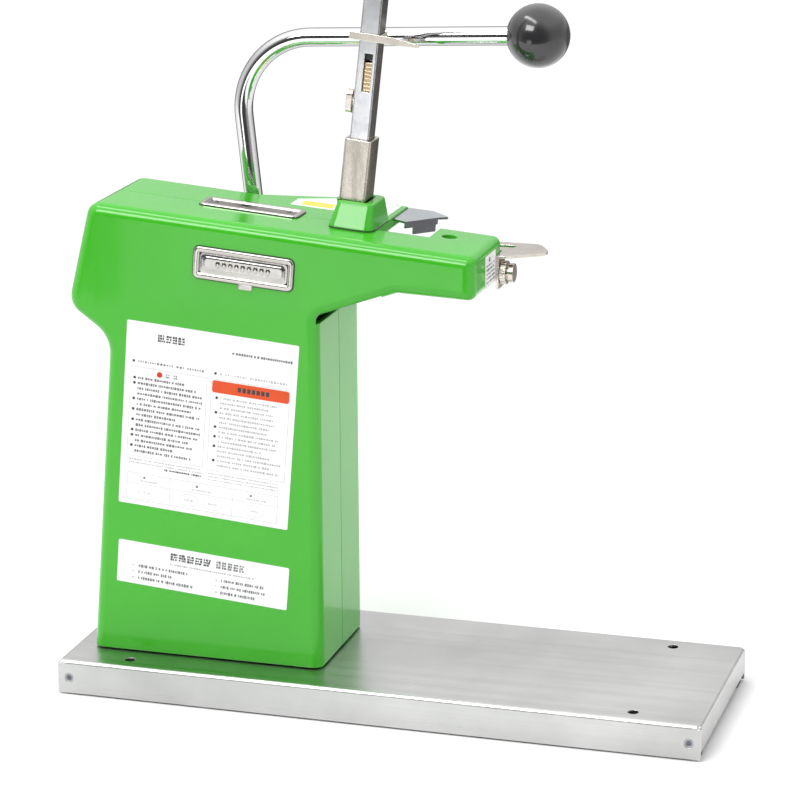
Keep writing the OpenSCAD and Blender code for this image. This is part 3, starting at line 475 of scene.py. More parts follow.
# Each metal: name, its lighter and darker tone, and its roughness from polished to dull.
TRAY_STEEL = metal("brushed tray steel", (0.79, 0.79, 0.785), (0.48, 0.48, 0.475), (0.24, 0.36),
                   depth=0.08, stretch=(5, 1100, 1100), edge=0.0006, patch=9.0)
CHROME = polished("polished lever chrome")
NICKEL = metal("worn nickel plate", (0.98, 0.93, 0.85), (0.34, 0.31, 0.26), (0.16, 0.4),
               stretch=(900, 900, 420), depth=0.08, patch=110.0, patch_stretch=(1, 1, 0.3),
               edge=0.0009, bright=(0.97, 0.94, 0.88))
# A darker copy of the worn nickel for the sleeve's faces turned towards the nose: painted shade,
# its edges brightened as painted highlight.
NICKEL_PAINTED_SHADE = metal("nickel side painted shade", (0.4, 0.35, 0.28), (0.12, 0.10, 0.08), (0.2, 0.4),
                     stretch=(900, 900, 300), depth=0.08, patch=110.0,
                     patch_stretch=(1, 1, 0.3), edge=0.0007, bright=(0.85, 0.8, 0.7))
BRIGHT_NICKEL = metal("bright nickel plate", (0.88, 0.83, 0.75), (0.56, 0.52, 0.45),
                      (0.14, 0.26), stretch=(300, 300, 300), depth=0.02, patch=60.0,
                      edge=0.0005, bright=(0.98, 0.96, 0.92))
RAIL_STEEL = metal("magazine rail plate", (0.99, 0.99, 1.0), (0.5, 0.51, 0.53), (0.1, 0.3),
                   stretch=(130, 130, 90), depth=0.06, patch=45.0, edge=0.0007,
                   bright=(0.97, 0.97, 0.97))
# A darker copy of the rail steel for the rail's faces turned towards the nose: painted shade, its
# edges brightened as painted highlight.
RAIL_PAINTED_SHADE = metal("magazine rail side painted shade", (0.34, 0.31, 0.28), (0.13, 0.12, 0.11), (0.2, 0.4),
                   stretch=(600, 600, 18), depth=0.04, patch=120.0, edge=0.0007,
                   bright=(0.6, 0.58, 0.55))
BADGE_CHROME = metal("badge frame plate", (0.66, 0.64, 0.62), (0.40, 0.38, 0.35), (0.1, 0.2),
                     stretch=(300, 300, 300), depth=0.02, bright=(0.9, 0.89, 0.86))
BADGE_SATIN = metal("badge pressed plate", (0.78, 0.78, 0.76), (0.34, 0.33, 0.31),
                    (0.12, 0.26), stretch=(200, 200, 200), depth=0.08)
BADGE_DARK = metal("smoked badge plate", (0.40, 0.35, 0.34), (0.16, 0.14, 0.14), (0.1, 0.25),
                   stretch=(90, 90, 90), depth=0.05, bright=(0.75, 0.7, 0.68))
GREY_SHEET = metal("blasted grey sheet", (0.56, 0.58, 0.60), (0.46, 0.48, 0.50), (0.34, 0.46),
                   stretch=(700, 700, 700), depth=0.06)
# A darker copy of the blasted grey sheet for the rear guide plate's flange: painted shade, with a
# painted highlight along its bent edge.
GREY_PAINTED_SHADE = metal("blasted sheet flange painted shade", (0.2, 0.2, 0.21), (0.1, 0.1, 0.11), (0.3, 0.45),
                   stretch=(700, 700, 700), depth=0.06, bright=(0.6, 0.61, 0.62))
MACHINED = metal("turned steel", (0.72, 0.73, 0.74), (0.55, 0.55, 0.56), (0.18, 0.32),
                 stretch=(500, 40, 500))
ZINC = metal("zinc plated screws", (0.55, 0.56, 0.58), (0.35, 0.36, 0.38), (0.25, 0.4),
             stretch=(400, 400, 400))
BLUED = metal("blued frame steel", (0.22, 0.24, 0.27), (0.12, 0.13, 0.15), (0.35, 0.5),
              stretch=(9, 500, 500), bright=(0.45, 0.46, 0.48))
BRONZE = metal("sintered bronze", (0.62, 0.42, 0.2), (0.45, 0.28, 0.12), (0.3, 0.45),
               stretch=(500, 500, 500))
SPRING = metal("drawn spring wire", (0.5, 0.5, 0.52), (0.33, 0.33, 0.35), (0.25, 0.38),
               stretch=(300, 300, 300))
CLIPS = metal("clip wire", (0.82, 0.66, 0.46), (0.5, 0.37, 0.22), (0.2, 0.35),
              stretch=(500, 500, 500))
KNOB = moulded("black knob", (0.026, 0.026, 0.028), (0.12, 0.24), grain=0.015, size=900.0,
               coat=0.6, dusty=rgba(0.05, 0.05, 0.05), amount=0.3)
RUBBER = moulded("black rubber", (0.022, 0.022, 0.022), (0.6, 0.8), grain=0.3)
PUSHER = moulded("dark moulded plastic", (0.03, 0.03, 0.032), (0.4, 0.55))
FILM = moulded("label film", (0.92, 0.92, 0.92), (0.26, 0.36), grain=0.02, coat=0.15,
               edge=0.0001, dusty=rgba(0.7, 0.7, 0.7), amount=0.1)
INK_TONES = (
    ("dark", (0.035, 0.035, 0.04), (0.3, 0.4)),
    ("grey", (0.15, 0.15, 0.16), (0.4, 0.5)),
    ("pale", (0.42, 0.42, 0.44), (0.4, 0.5)),
    ("orange", (0.74, 0.075, 0.006), (0.4, 0.5)),
    ("red", (0.66, 0.015, 0.008), (0.4, 0.5)),
    ("yellow", (0.86, 0.65, 0.05), (0.28, 0.38)),
)
INKS = {ink: moulded("label %s ink" % ink, colour, rough, grain=0.03, edge=0.0001)
        for ink, colour, rough in INK_TONES}
SLOT_LOOKS = {
    "brushed_sheet": TRAY_STEEL, "rubber": RUBBER, "screws": ZINC, "frame_steel": BLUED,
    "green_paint": ENAMEL, "label_film": FILM, "badge_chrome": BADGE_CHROME,
    "badge_plate": BADGE_SATIN, "nickel_plate": NICKEL,
    "clips": CLIPS, "pusher_plastic": PUSHER, "polished_rod": CHROME, "knob_plastic": KNOB,
    "machined_steel": MACHINED, "bronze": BRONZE, "spring_steel": SPRING, "grey_sheet": GREY_SHEET,
}


def dress(obj, *looks):
    """Gives a piece its materials, in the order its faces count them."""
    while obj.data.materials:
        obj.data.materials.pop()
    for look in looks:
        obj.data.materials.append(look)
    return obj


def stand_for(obj, body, slot, *nodes):
    """Makes a finished piece ride on its body and stand for its CAD nodes."""
    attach(obj, body)
    if nodes:
        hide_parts(*nodes)
    return obj


def dress_cad_nodes():
    """Materials of the nodes carried over from the frame; on the magazine rail, the sleeve and the
    folded rear guide plate, faces turned one way get a darker copy of their metal as painted shade.
    """
    for part in frame["record"]["subparts"]:
        dress(frame["nodes"][part["node"]], SLOT_LOOKS[part["material_slot"]])
    for piece in ("front_guide_plate", "thumb_screw", "rail_catch", "pusher_band"):
        dress(frame["nodes"][piece], BRIGHT_NICKEL)
    forwards, flange = Vector((1, 0, 0)), Vector((0.83, -0.55, 0))
    flanks = (("magazine_rail", RAIL_STEEL, RAIL_PAINTED_SHADE, forwards),
              ("magazine_sleeve", NICKEL, NICKEL_PAINTED_SHADE, forwards),
              ("rear_guide_plate", GREY_SHEET, GREY_PAINTED_SHADE, flange))
    for piece, face, painted_shade_look, towards in flanks:
        mesh = dress(frame["nodes"][piece], face, painted_shade_look).data
        # Faces turned along the given direction take the darker copy: painted shade.
        for polygon in mesh.polygons:
            polygon.material_index = int(polygon.normal.dot(towards) > 0.8)


# ---------------------------------------------------------------- housing


def slab(name, pts, stations, kept=()):
    """Envelope of the housing: its outline at each (y, depth), standing on the deck."""
    rings = [[(p.x, y, p.y + DECK) for p in outline(pts, depth, kept)] for y, depth in stations]
    return skin(name, rings)


def rolled(y_side, radius, side, spare=0.05, steps=8):
    """Stations that roll the rim over towards the side face at y = side * y_side."""
    return [(side * (y_side + spare - radius + radius * s), radius * c - spare)
            for s, c in quarter(steps)]


def seam(side, spare=0.05):
    """Stations of the soft edge along the joint between the two halves."""
    return [(-side * spare, 0.4), (side * 0.25, 0.08), (side * 0.6, -spare)]


def near_shell():
    """The near half of the housing with the nose, its rims rolled over."""
    body = slab("near_shell_rim", HOUSING, seam(-1) + rolled(HALF_W, RIM_R, -1), kept=(0,))
    x0, x1 = SLOT_FRONT - 0.05, NOSE_END
    under = BEAM_Z - BEAM_DROP * (x0 - BEAM_X) / (x1 - BEAM_X)
    nose = [(x0, under, 0.05), (x1, BEAM_Z - BEAM_DROP, 5), (x1, top_z(x1), 5),
            (x0, top_z(x0), 0.05)]
    block = slab("nose_rim", nose, [(-20, -0.05)] + rolled(NOSE_FAR, 3.5, 1), kept=(3,))
    envelope = combined(body, block, "UNION")
    shell = combined(copy_of("near_cover", "near_shell"), envelope, "INTERSECT")
    return stand_for(even_normals(dress(shell, ENAMEL)), "stand", "green_paint", "near_cover")


def far_shell():
    """The far half of the housing with the guide shelf, its rims rolled over."""
    body = slab("far_shell_rim", HOUSING, seam(1) + rolled(HALF_W, RIM_R, 1), kept=(0,))
    shelf = [
        (SLOT_U - 96, 30, 1), (SLOT_U + 24, 0.5, 0.5), (SLOT_U + 24, SHELF_Y, 3),
        (SLOT_U - 44, SHELF_Y, 12), (SLOT_U - 82, HALF_W, 12), (SLOT_U - 96, 38, 5),
    ]
    edge_r, spare = 2.2, 0.1
    rings = [(HEAD_H - SHELF_T - 3, -0.05)]
    rings += [(HEAD_H + spare - edge_r + edge_r * s, edge_r * c - spare) for s, c in quarter(5)]
    rim = skin("shelf_rim", [[(p.x, p.y, w) for p in outline(shelf, depth)] for w, depth in rings])
    envelope = combined(body, placed(rim, HEAD), "UNION")
    shell = combined(copy_of("far_cover", "far_shell"), envelope, "INTERSECT")
    return stand_for(even_normals(dress(shell, ENAMEL)), "stand", "green_paint", "far_cover")


def boot():
    """Tapered collar round the foot of the magazine, with a lip at its mouth, on a thin black strip
    that is a painted shadow under its edge.
    """
    # foot and mouth, each as length, width and centre along and across the head
    low, high = (30.0, 42.0, 143.2, MAG_Y - 1.6), (23.0, 28.0, 143.6, MAG_Y)
    height, lip, roll, foot_r = 16.0, 2.0, 1.2, 6.0

    def level(w, depth, radius):
        t = w / height
        length, width, u, v = [a + (b - a) * t for a, b in zip(low, high)]
        return [(p.x + u, p.y + v, HEAD_H + w)
                for p in outline(rectangle(length, width, radius), depth, steps=6)]

    rings = [level(0.55, 0.9, foot_r), level(0.75, 0.3, foot_r), level(1.2, 0.0, foot_r)]
    rings += [level(w, 0.0, foot_r - 0.16 * w) for w in (3, 6, 9, 12)]
    rings += [level(height - roll + roll * s, roll * c, 3.6) for s, c in quarter(4)]
    bore_l, bore_w, bore_r = 17.4, 18.4, 1.4
    flat = HEAD.inverted() @ MAGAZINE
    for w, grow in ((0.0, 1.6), (-0.4, 1.0), (-lip, 0.8), (-height + 0.05, 0.8)):
        ring = []
        hole = rectangle(bore_l + 2 * grow, bore_w + 2 * grow, bore_r)
        for p in outline(hole, 0, steps=6):
            q = flat @ Vector((p.x, p.y, height + w))
            ring.append((q.x, q.y, HEAD_H + height + w))
        rings.append(ring)
    piece = placed(skin("magazine_boot_shell", rings, closed=True), HEAD)
    # A thin black rubber strip just inside the collar's foot: a painted shadow line under its edge.
    shadow_strip = [level(0.02, 0.5, foot_r), level(0.6, 0.5, foot_r), level(0.6, 6.0, 3.0),
              level(0.02, 6.0, 3.0)]
    shadow_band = placed(skin("magazine_boot_shadow_strip", shadow_strip, closed=True), HEAD)
    stand_for(dress(shadow_band, RUBBER), "stand", "rubber")
    return stand_for(even_normals(dress(piece, ENAMEL)), "stand", "green_paint", "magazine_boot")


def tray_screws():
    """Countersunk screws of the corner blocks, with a bright head whose shallow socket is given
    dark blued steel as painted shade.
    """
    profile = [(0.01, -6), (2.0, -6), (2.0, -0.4), (2.75, -0.35), (2.8, -0.08), (2.6, 0),
               (1.9, -0.02), (1.7, -0.3), (0.01, -0.45)]
    socket_r = 1.9
    heads = []
    for x in (-TRAY_SCREW_X, TRAY_SCREW_X):
        for side in (-1, 1):
            screw = lathe("tray_corner_screw", profile, 24)
            hole = move(x, side * TRAY_SIDE_Y, TRAY_SCREW_Z) @ turn(-side * math.pi / 2, "X")
            placed(dress(screw, ZINC, BLUED), hole)
            # The socket faces take the dark blued steel: painted shade in the recess.
            for polygon in screw.data.polygons:
                middle = polygon.center / MM
                off = math.hypot(middle.x - x, middle.z - TRAY_SCREW_Z)
                outside = abs(middle.y) > TRAY_SIDE_Y - 1
                polygon.material_index = int(off < socket_r and outside)
            heads.append(screw)
    for screw in heads[1:]:
        stand_for(screw, "stand", "screws")
    stand_for(heads[0], "stand", "screws", "tray_screws")


# ---------------------------------------------------------------- lever


def lever():
    """The bent bar, from its hub up and forwards over the head, and the ball knob on its end."""
    leg_lean, arm_rise = math.radians(5.8), math.radians(2.7)
    leg_h, arm_l, bend_r = 141.9, 200.0, 48.0
    leg = Vector((-math.sin(leg_lean), 0, math.cos(leg_lean)))
    arm = Vector((math.cos(arm_rise), 0, math.sin(arm_rise)))
    foot = SHAFT + Vector((0, LEVER_Y, 0))
    corner = foot + leg * leg_h
    swing = math.pi / 2 + leg_lean - arm_rise
    run = bend_r * math.tan(swing / 2)
    inwards = Vector((math.cos(leg_lean), 0, math.sin(leg_lean)))
    centre = corner - leg * run + inwards * bend_r
    path = [foot + leg * d for d in (10.5, 30, 60)]
    for k in range(25):
        a = math.pi + leg_lean - swing * k / 24
        path.append(centre + Vector((math.cos(a), 0, math.sin(a))) * bend_r)
    path += [corner + arm * d for d in (run + 30, run + 70, arm_l - KNOB_D / 2 + 11.5)]
    rod = tube("lever_bar", path, ROD_D / 2)
    stand_for(dress(rod, CHROME), "lever", "polished_rod", "lever_rod")
    r = KNOB_D / 2
    neck = r - 1.6
    bore = ROD_D / 2 + 0.06
    profile = [(bore, -neck + 3), (bore, -neck), (7.4, -neck - 0.1), (8.1, -neck + 0.25)]
    start = math.asin(8.4 / r)
    for k in range(33):
        a = start + (math.pi - start) * k / 32
        profile.append((max(r * math.sin(a), 0.01), -r * math.cos(a)))
    knob = lathe("lever_knob", profile)
    place = move(*(corner + arm * arm_l)) @ turn(math.pi / 2 - arm_rise, "Y")
    placed(knob, place)
    stand_for(dress(knob, KNOB), "lever", "knob_plastic", "ball_knob")


# ---------------------------------------------------------------- labels


FILM_LOW, FILM_TOP, INK_LOW = 0.02, 0.2, 0.18
STROKE_TOP, BAR_TOP, DISC_TOP, BLOCK_TOP, ON_BLOCK_TOP = 0.212, 0.215, 0.218, 0.222, 0.232


class Sheet:
    """A label lying in its own plane: film with printed shapes a hair above it."""

    def __init__(self, name, place, width=0.0, height=0.0):
        self.name, self.place, self.width, self.height = name, place, width, height
        self.bm, self.looks = bmesh.new(), []

    def slot(self, look):
        """The number of this material on the label."""
        if look not in self.looks:
            self.looks.append(look)
        return self.looks.index(look)

    def at(self, across, down):
        """The point at these parts of the label's width and height, from its upper left."""
        return across * self.width - self.width / 2, self.height / 2 - down * self.height

    def plate(self, points, low, high, look):
        """A thin prism between two heights."""
        rows = [[self.bm.verts.new(Vector((x, y, z)) * MM) for x, y in points]
                for z in (low, high)]
        faces = [self.bm.faces.new(rows[0][::-1]), self.bm.faces.new(rows[1])]
        for k in range(len(points)):
            j = (k + 1) % len(points)
            side = (rows[0][k], rows[0][j], rows[1][j], rows[1][k])
            faces.append(self.bm.faces.new(side))
        for f in faces:
            f.material_index = self.slot(look)

    def film(self, pts):
        self.plate([tuple(p) for p in outline(pts, 0, steps=4)], FILM_LOW, FILM_TOP, FILM)

    def bar(self, x0, y0, x1, y1, ink="grey", low=INK_LOW, high=BAR_TOP):
        self.plate([(x0, y0), (x1, y0), (x1, y1), (x0, y1)], low, high, INKS[ink])

    def disc(self, x, y, r, ink="dark", squash=1.0, steps=14):
        angles = [2 * math.pi * k / steps for k in range(steps)]
        self.plate([(x + r * math.cos(a), y + squash * r * math.sin(a)) for a in angles],
                   INK_LOW, DISC_TOP, INKS[ink])

    def ring(self, x, y, rx, ry, width, ink="pale", steps=28):
        """A thin printed oval outline, as separate short strokes."""
        for k in range(steps):
            a, b = 2 * math.pi * k / steps, 2 * math.pi * (k + 0.8) / steps
            inner = [(x + (rx - width) * math.cos(t), y + (ry - width) * math.sin(t))
                     for t in (b, a)]
            outer = [(x + rx * math.cos(t), y + ry * math.sin(t)) for t in (a, b)]
            self.plate(outer + inner, INK_LOW, STROKE_TOP, INKS[ink])

    def border(self, x0, y0, x1, y1, width=0.22, ink="pale"):
        """A thin printed rectangle."""
        self.bar(x0, y0, x1, y0 + width, ink)
        self.bar(x0, y1 - width, x1, y1, ink)
        self.bar(x0, y0 + width, x0 + width, y1 - width, ink)
        self.bar(x1 - width, y0 + width, x1, y1 - width, ink)

    def row(self, x0, x1, y, height, ink, chance, wide=(0.5, 1.5), gap=0.42):
        """A row of small plain marks that stands in for a line of print."""
        x = x0
        while x < x1 - wide[0]:
            w = min(chance.uniform(*wide), x1 - x)
            tall = height * chance.uniform(0.55, 1.0)
            self.bar(x, y - tall / 2, x + w, y + tall / 2, ink)
            x += w + gap + (chance.random() < 0.18) * gap * 2

    def heading(self, x, y, widths, ink, chance, gap):
        """A line of large plain blocks, each of three short rows; returns where it ends."""
        for wide in widths:
            for dy in (1.7, 0, -1.7):
                self.row(x, x + wide, y + dy, 1.6, ink, chance, (0.7, 1.9), 0.25)
            x += wide + gap
        return x

    def done(self, slot, *nodes):
        """The finished label on the stand."""
        mesh = bpy.data.meshes.new(self.name)
        for look in self.looks:
            mesh.materials.append(look)
        bmesh.ops.recalc_face_normals(self.bm, faces=self.bm.faces)
        self.bm.to_mesh(mesh)
        self.bm.free()
        obj = bpy.data.objects.new(self.name, mesh)
        bpy.context.scene.collection.objects.link(obj)
        placed(obj, self.place)
        return stand_for(obj, "stand", slot, *nodes)


def on_near_side(x, z):
    """Frame of a patch on the near side: X towards the nose, Y up, Z out of the side."""
    return move(COL_REAR + x, -HALF_W, DECK + z) @ turn(TILT, "Y") @ turn(math.pi / 2, "X")


def upper_side_label():
    """Large label: heading, two columns of lines, an orange block and a table with ovals."""
    sheet = Sheet("side_label_upper_print", on_near_side(80.4, 157), 114.0, 121.0)
    at, chance = sheet.at, random.Random(3)
    sheet.film(rectangle(sheet.width, sheet.height, 1))
    x, y = at(0.185, 0.075)
    sheet.heading(x, y, (4.8, 3.4, 3.0, 4.8), "dark", chance, 0.8)
    x, y = at(0.62, 0.095)
    sheet.row(x, at(0.97, 0)[0], y, 2.0, "grey", chance, (0.8, 1.6), 0.35)
    for left, right, ink in ((0.05, 0.47, "grey"), (0.53, 0.95, "pale")):
        x, y = at(left, 0.215)
        sheet.disc(x, y, 0.9)
        sheet.row(x + 3, at(right, 0)[0], y, 1.4, ink, chance, gap=0.8)
    for left, right, bottom in ((0.035, 0.485, 0.735), (0.51, 0.965, 0.745)):
        sheet.border(*at(left, bottom), *at(right, 0.245))
    left_column(sheet, chance)
    orange_block(sheet)
    right_column(sheet, chance)
    for k in range(3):
        x, y = at(0.05, 0.752 + 0.017 * k)
        if k < 2:
            sheet.row(x, at(0.48, 0)[0], y, 0.9, "pale", chance)
        else:
            sheet.row(at(0.26, 0)[0], at(0.48, 0)[0], y, 1.4, "dark", chance)
        sheet.row(at(0.52, 0)[0], at(0.93, 0)[0], y - 1.2, 0.8, "pale", chance)
    table(sheet, chance)
    return sheet.done("label_film", "side_label_upper")


PRINT_LINES = 15


def left_column(sheet, chance):
    """A red disc with two small words, then lines of print, some with a bullet."""
    x, y = sheet.at(0.205, 0.272)
    sheet.disc(x, y, 1.9, "red")
    for start in (x + 4.2, x + 9.6):
        for dy in (0.6, -0.9):
            sheet.row(start, start + 3.0, y + dy, 1.1, "grey", chance, (0.5, 0.9), 0.2)
    for k in range(PRINT_LINES):
        x, y = sheet.at(0.06, 0.305 + 0.0285 * k)
        if k in (0, 1, 4, 6, 8, 10, 11, 13):
            sheet.disc(x, y, 0.95)
        end = sheet.at(0.2 + 0.27 * chance.uniform(0.35, 1.0), 0)[0]
        sheet.row(x + 2.2, end, y, 1.9, "grey", chance, (0.6, 1.7))


def right_column(sheet, chance):
    """Paler lines of print, some with a bullet."""
    for k in range(PRINT_LINES):
        x, y = sheet.at(0.545, 0.345 + 0.0262 * k)
        if k in (0, 3, 6, 8, 10, 13):
            sheet.disc(x, y, 0.95)
        end = sheet.at(0.72 + 0.23 * chance.uniform(0.4, 1.0), 0)[0]
        sheet.row(x + 2.4, end, y, 1.5, "pale", chance)


def orange_block(sheet):
    """Orange heading block with a dark disc and a row of plain dark blocks."""
    (x0, y0), (x1, y1) = sheet.at(0.515, 0.318), sheet.at(0.962, 0.252)
    centre = Vector(((x0 + x1) / 2, (y0 + y1) / 2))
    corners = outline(rectangle(x1 - x0, y1 - y0, 1.5), 0, steps=4)
    sheet.plate([tuple(p + centre) for p in corners], INK_LOW, BLOCK_TOP, INKS["orange"])
    sheet.disc(x0 + 12.5, centre.y, 2.0, "dark")
    for k in range(7):
        x = x0 + 17 + 3.1 * k
        sheet.bar(x, centre.y - 1.5, x + 2.2, centre.y + 1.5, "dark", FILM_TOP, ON_BLOCK_TOP)


def table(sheet, chance):
    """Three ruled cells with a small heading each, and plain ovals under them."""
    at = sheet.at
    (x0, y0), (x1, y1) = at(0.045, 0.975), at(0.935, 0.825)
    rule = 0.2
    sheet.border(x0, y0, x1, y1)
    line = at(0, 0.885)[1]
    sheet.bar(x0, line, x1, line + rule, "pale")
    cuts = [x0, at(0.30, 0)[0], at(0.67, 0)[0], x1]
    for x in cuts[1:-1]:
        sheet.bar(x, y0, x + rule, y1, "pale")
    for a, b in zip(cuts, cuts[1:]):
        mid = (a + b) / 2
        sheet.disc(mid - 3, line + 4.6, 0.8, "grey")
        sheet.row(mid - 6, mid + 7, line + 2.2, 0.9, "pale", chance)
        ovals = (-8, 8) if b - a > 36 else (0,)
        for dx in ovals:
            sheet.ring(mid + dx, (line + y0) / 2, 6.6, 4.0, 0.22)
            sheet.row(mid + dx - 3, mid + dx + 3, (line + y0) / 2, 0.8, "pale", chance)


def lower_side_label():
    """Wide label: one heading line and two columns of three short lines."""
    sheet = Sheet("side_label_lower_print", on_near_side(74.4, 57.2), 115.5, 28.5)
    at, chance = sheet.at, random.Random(5)
    sheet.film(rectangle(sheet.width, sheet.height, 1))
    x, y = at(0.31, 0.215)
    x = sheet.heading(x, y, [4.6] * 5, "dark", chance, 1.0)
    sheet.heading(x + 3, y, [2.9] * 5, "grey", chance, 1.0)
    sheet.row(at(0.31, 0)[0], at(0.8, 0)[0], at(0, 0.40)[1], 1.1, "pale", chance)
    for k, ends in enumerate(((0.42, 0.86), (0.32, 0.88), (0.46, 0.81))):
        x, y = at(0.09, 0.56 + 0.145 * k)
        sheet.row(x, x + 1.4, y, 1.4, "pale", chance)
        sheet.row(x + 4, at(ends[0], 0)[0], y, 2.2, "grey", chance)
        x = at(0.58, 0)[0]
        sheet.row(x, x + 1.4, y - 0.4, 1.4, "pale", chance)
        sheet.row(x + 3.6, at(ends[1], 0)[0], y - 0.4, 2.2, "grey", chance)
    return sheet.done("label_film", "side_label_lower")


def top_shelf_label():
    """Label on the guide shelf, cut back round the collar, with a yellow block."""
    sheet, chance = Sheet("top_label_print", HEAD @ move(0, 0, HEAD_H)), random.Random(8)
    sheet.film([(90.5, 24, 1), (128, 24, 1), (128, 26.3, 1), (SLOT_U - 3.5, 26.3, 1),
                (SLOT_U - 3.5, 59, 1), (SLOT_U - 40, 59, 6), (SLOT_U - 66, 41, 6),
                (90.5, 41, 1)])
    sheet.bar(96, 27, 117, 38.5, "yellow", high=0.22)
    sheet.disc(104, 30, 1.3, "dark")
    sheet.row(98, 115, 34.5, 1.2, "grey", chance)
    for k in range(4):
        sheet.row(121, 138, 30 + 3.2 * k, 1.0, "pale", chance)
    for k in range(3):
        sheet.row(122, 146, 44 + 3.6 * k, 1.0, "pale", chance)
    sheet.disc(148.5, 33.5, 1.6, "dark", squash=0.7)
    return sheet.done("label_film", "top_label")


def nose_end_label():
    """Small label on the end of the nose: a disc and five lines."""
    middle = move(NOSE_END, -5, DECK + BEAM_Z + 10.5)
    place = middle @ turn(math.pi / 2, "Z") @ turn(math.pi / 2, "X")
    sheet, chance = Sheet("end_label_print", place), random.Random(11)
    sheet.film(rectangle(24, 20, 1))
    sheet.disc(-2, 6.6, 1.6, "dark")
    for k in range(5):
        ink = "dark" if k % 2 else "grey"
        sheet.row(-9.5, 9.5, 3.4 - 2.6 * k, 1.5, ink, chance, (0.7, 1.8), 0.5)
    return sheet.done("label_film", "end_label")


# ---------------------------------------------------------------- badges


def badge_rings(profile, length, width, radius, shift=(0, 0), steps=6, widen=False):
    """Rounded rectangles at each (height, depth); with widen their corners grow with depth."""
    rings = []
    for z, depth in profile:
        corner = radius + depth if widen else radius
        pts = outline(rectangle(length, width, corner), depth, steps=steps)
        rings.append([(p.x + shift[0], p.y + shift[1], z) for p in pts])
    return rings


def badge(name, place, frame_node, plate_node, look, tab):
    """Bright rolled frame round a pressed plate with a raised panel of plain studs, on a thin black
    strip that is a painted shadow round its edge.
    """
    # A thin black rubber strip a little wider than the frame: a painted shadow line round its foot.
    shadow_band = [(0.003, -0.45), (0.35, -0.45), (0.35, 6.5), (0.003, 6.5)]
    rings = badge_rings(shadow_band, BADGE_L, BADGE_W, 3.6)
    shadow_strip = placed(skin(name + "_shadow_strip", rings, closed=True), place)
    stand_for(dress(shadow_strip, RUBBER), "stand", "rubber")
    if tab:
        lip = [(0.05, 0.0), (0.7, 0.0), (0.95, 0.3), (1.0, 0.8)]
        rings = badge_rings(lip, 9, 5, 1.2, (2, -BADGE_W / 2 - 0.8), steps=5)
        piece = placed(skin(name + "_tab", rings), place)
        stand_for(dress(piece, BADGE_CHROME), "stand", "badge_chrome")
    rim = [(0.05, 0.0), (0.7, 0.0), (1.2, 0.25), (1.5, 0.7), (1.6, 1.3), (1.6, 2.6),
           (1.35, 3.2), (0.7, 3.8), (0.1, 4.0)]
    rings = badge_rings(rim, BADGE_L, BADGE_W, 3.6)
    ring = placed(skin(name + "_rim", rings, closed=True), place)
    stand_for(even_normals(dress(ring, BADGE_CHROME)), "stand", "badge_chrome", frame_node)
    pressed = [(0.02, 0.0), (0.45, 0.0), (0.5, 0.5), (0.5, 1.6), (0.85, 2.2), (1.1, 2.8),
               (1.15, 3.6)]
    rings = badge_rings(pressed, BADGE_L - 8.2, BADGE_W - 7.7, 2.4, widen=True)
    plate = placed(skin(name + "_plate", rings), place)
    stand_for(even_normals(dress(plate, look)), "stand", "badge_plate", plate_node)
    count, pitch, wide, tall = (9, 4.1, 1.75, 2.6) if tab else (2, 48, 1.5, 1.5)
    studs = placed(plain_studs(name + "_studs", count, pitch, wide, tall), place)
    stand_for(dress(studs, BADGE_CHROME if tab else BLUED), "stand", "badge_plate")


def plain_studs(name, count, pitch, wide, tall, sides=16):
    """A row of domed oval studs."""
    bm = bmesh.new()
    angles = [2 * math.pi * j / sides for j in range(sides)]
    for k in range(count):
        x = (k - (count - 1) / 2) * pitch
        rows = []
        for z, r in ((1.05, 1.0), (1.5, 0.92), (1.75, 0.7), (1.8, 0.3)):
            rows.append([bm.verts.new(Vector((x + wide * r * math.cos(a),
                                              tall * r * math.sin(a), z)) * MM)
                         for a in angles])
        for a, b in zip(rows, rows[1:]):
            for j in range(sides):
                n = (j + 1) % sides
                bm.faces.new((a[j], a[n], b[n], b[j]))
        bm.faces.new(rows[-1])
        bm.faces.new(rows[0][::-1])
    return finished(name, bm)


# ---------------------------------------------------------------- room, light and camera


FLOOR_X, FLOOR_Y = 14, 1.0
BACKGROUND_SHOWN = 1.05


def floor():
    """Pale floor, cut short in front and behind so that bright metal mirrors the studio."""
    bm = bmesh.new()
    for x, y in ((-1, -1), (1, -1), (1, 1), (-1, 1)):
        bm.verts.new((x * FLOOR_X, y * FLOOR_Y, 0))
    bm.faces.new(bm.verts)
    mesh = bpy.data.meshes.new("floor")
    bm.to_mesh(mesh)
    bm.free()
    ground = bpy.data.objects.new("floor", mesh)
    bpy.context.scene.collection.objects.link(ground)
    made, tree, shader = surface("pale floor", {"Roughness": 0.65})
    tone = use(tree, PATCHES, Size=1.5, Low=0.0, High=1.0)
    tint = shade_between(tree, tone.outputs[0], rgba(0.83, 0.83, 0.83), rgba(0.85, 0.85, 0.85))
    tree.links.new(tint, shader.inputs["Base Color"])
    dress(ground, made)


def ramp(tree, value, start, stop, low, high):
    """A soft step from low to high while value goes from start to stop."""
    return node(tree, "ShaderNodeMapRange", {"Value": value, "From Min": start,
                                             "From Max": stop, "To Min": low,
                                             "To Max": high},
                interpolation_type="SMOOTHSTEP").outputs[0]


def times(tree, a, b):
    return node(tree, "ShaderNodeMath", {0: a, 1: b}, operation="MULTIPLY").outputs[0]


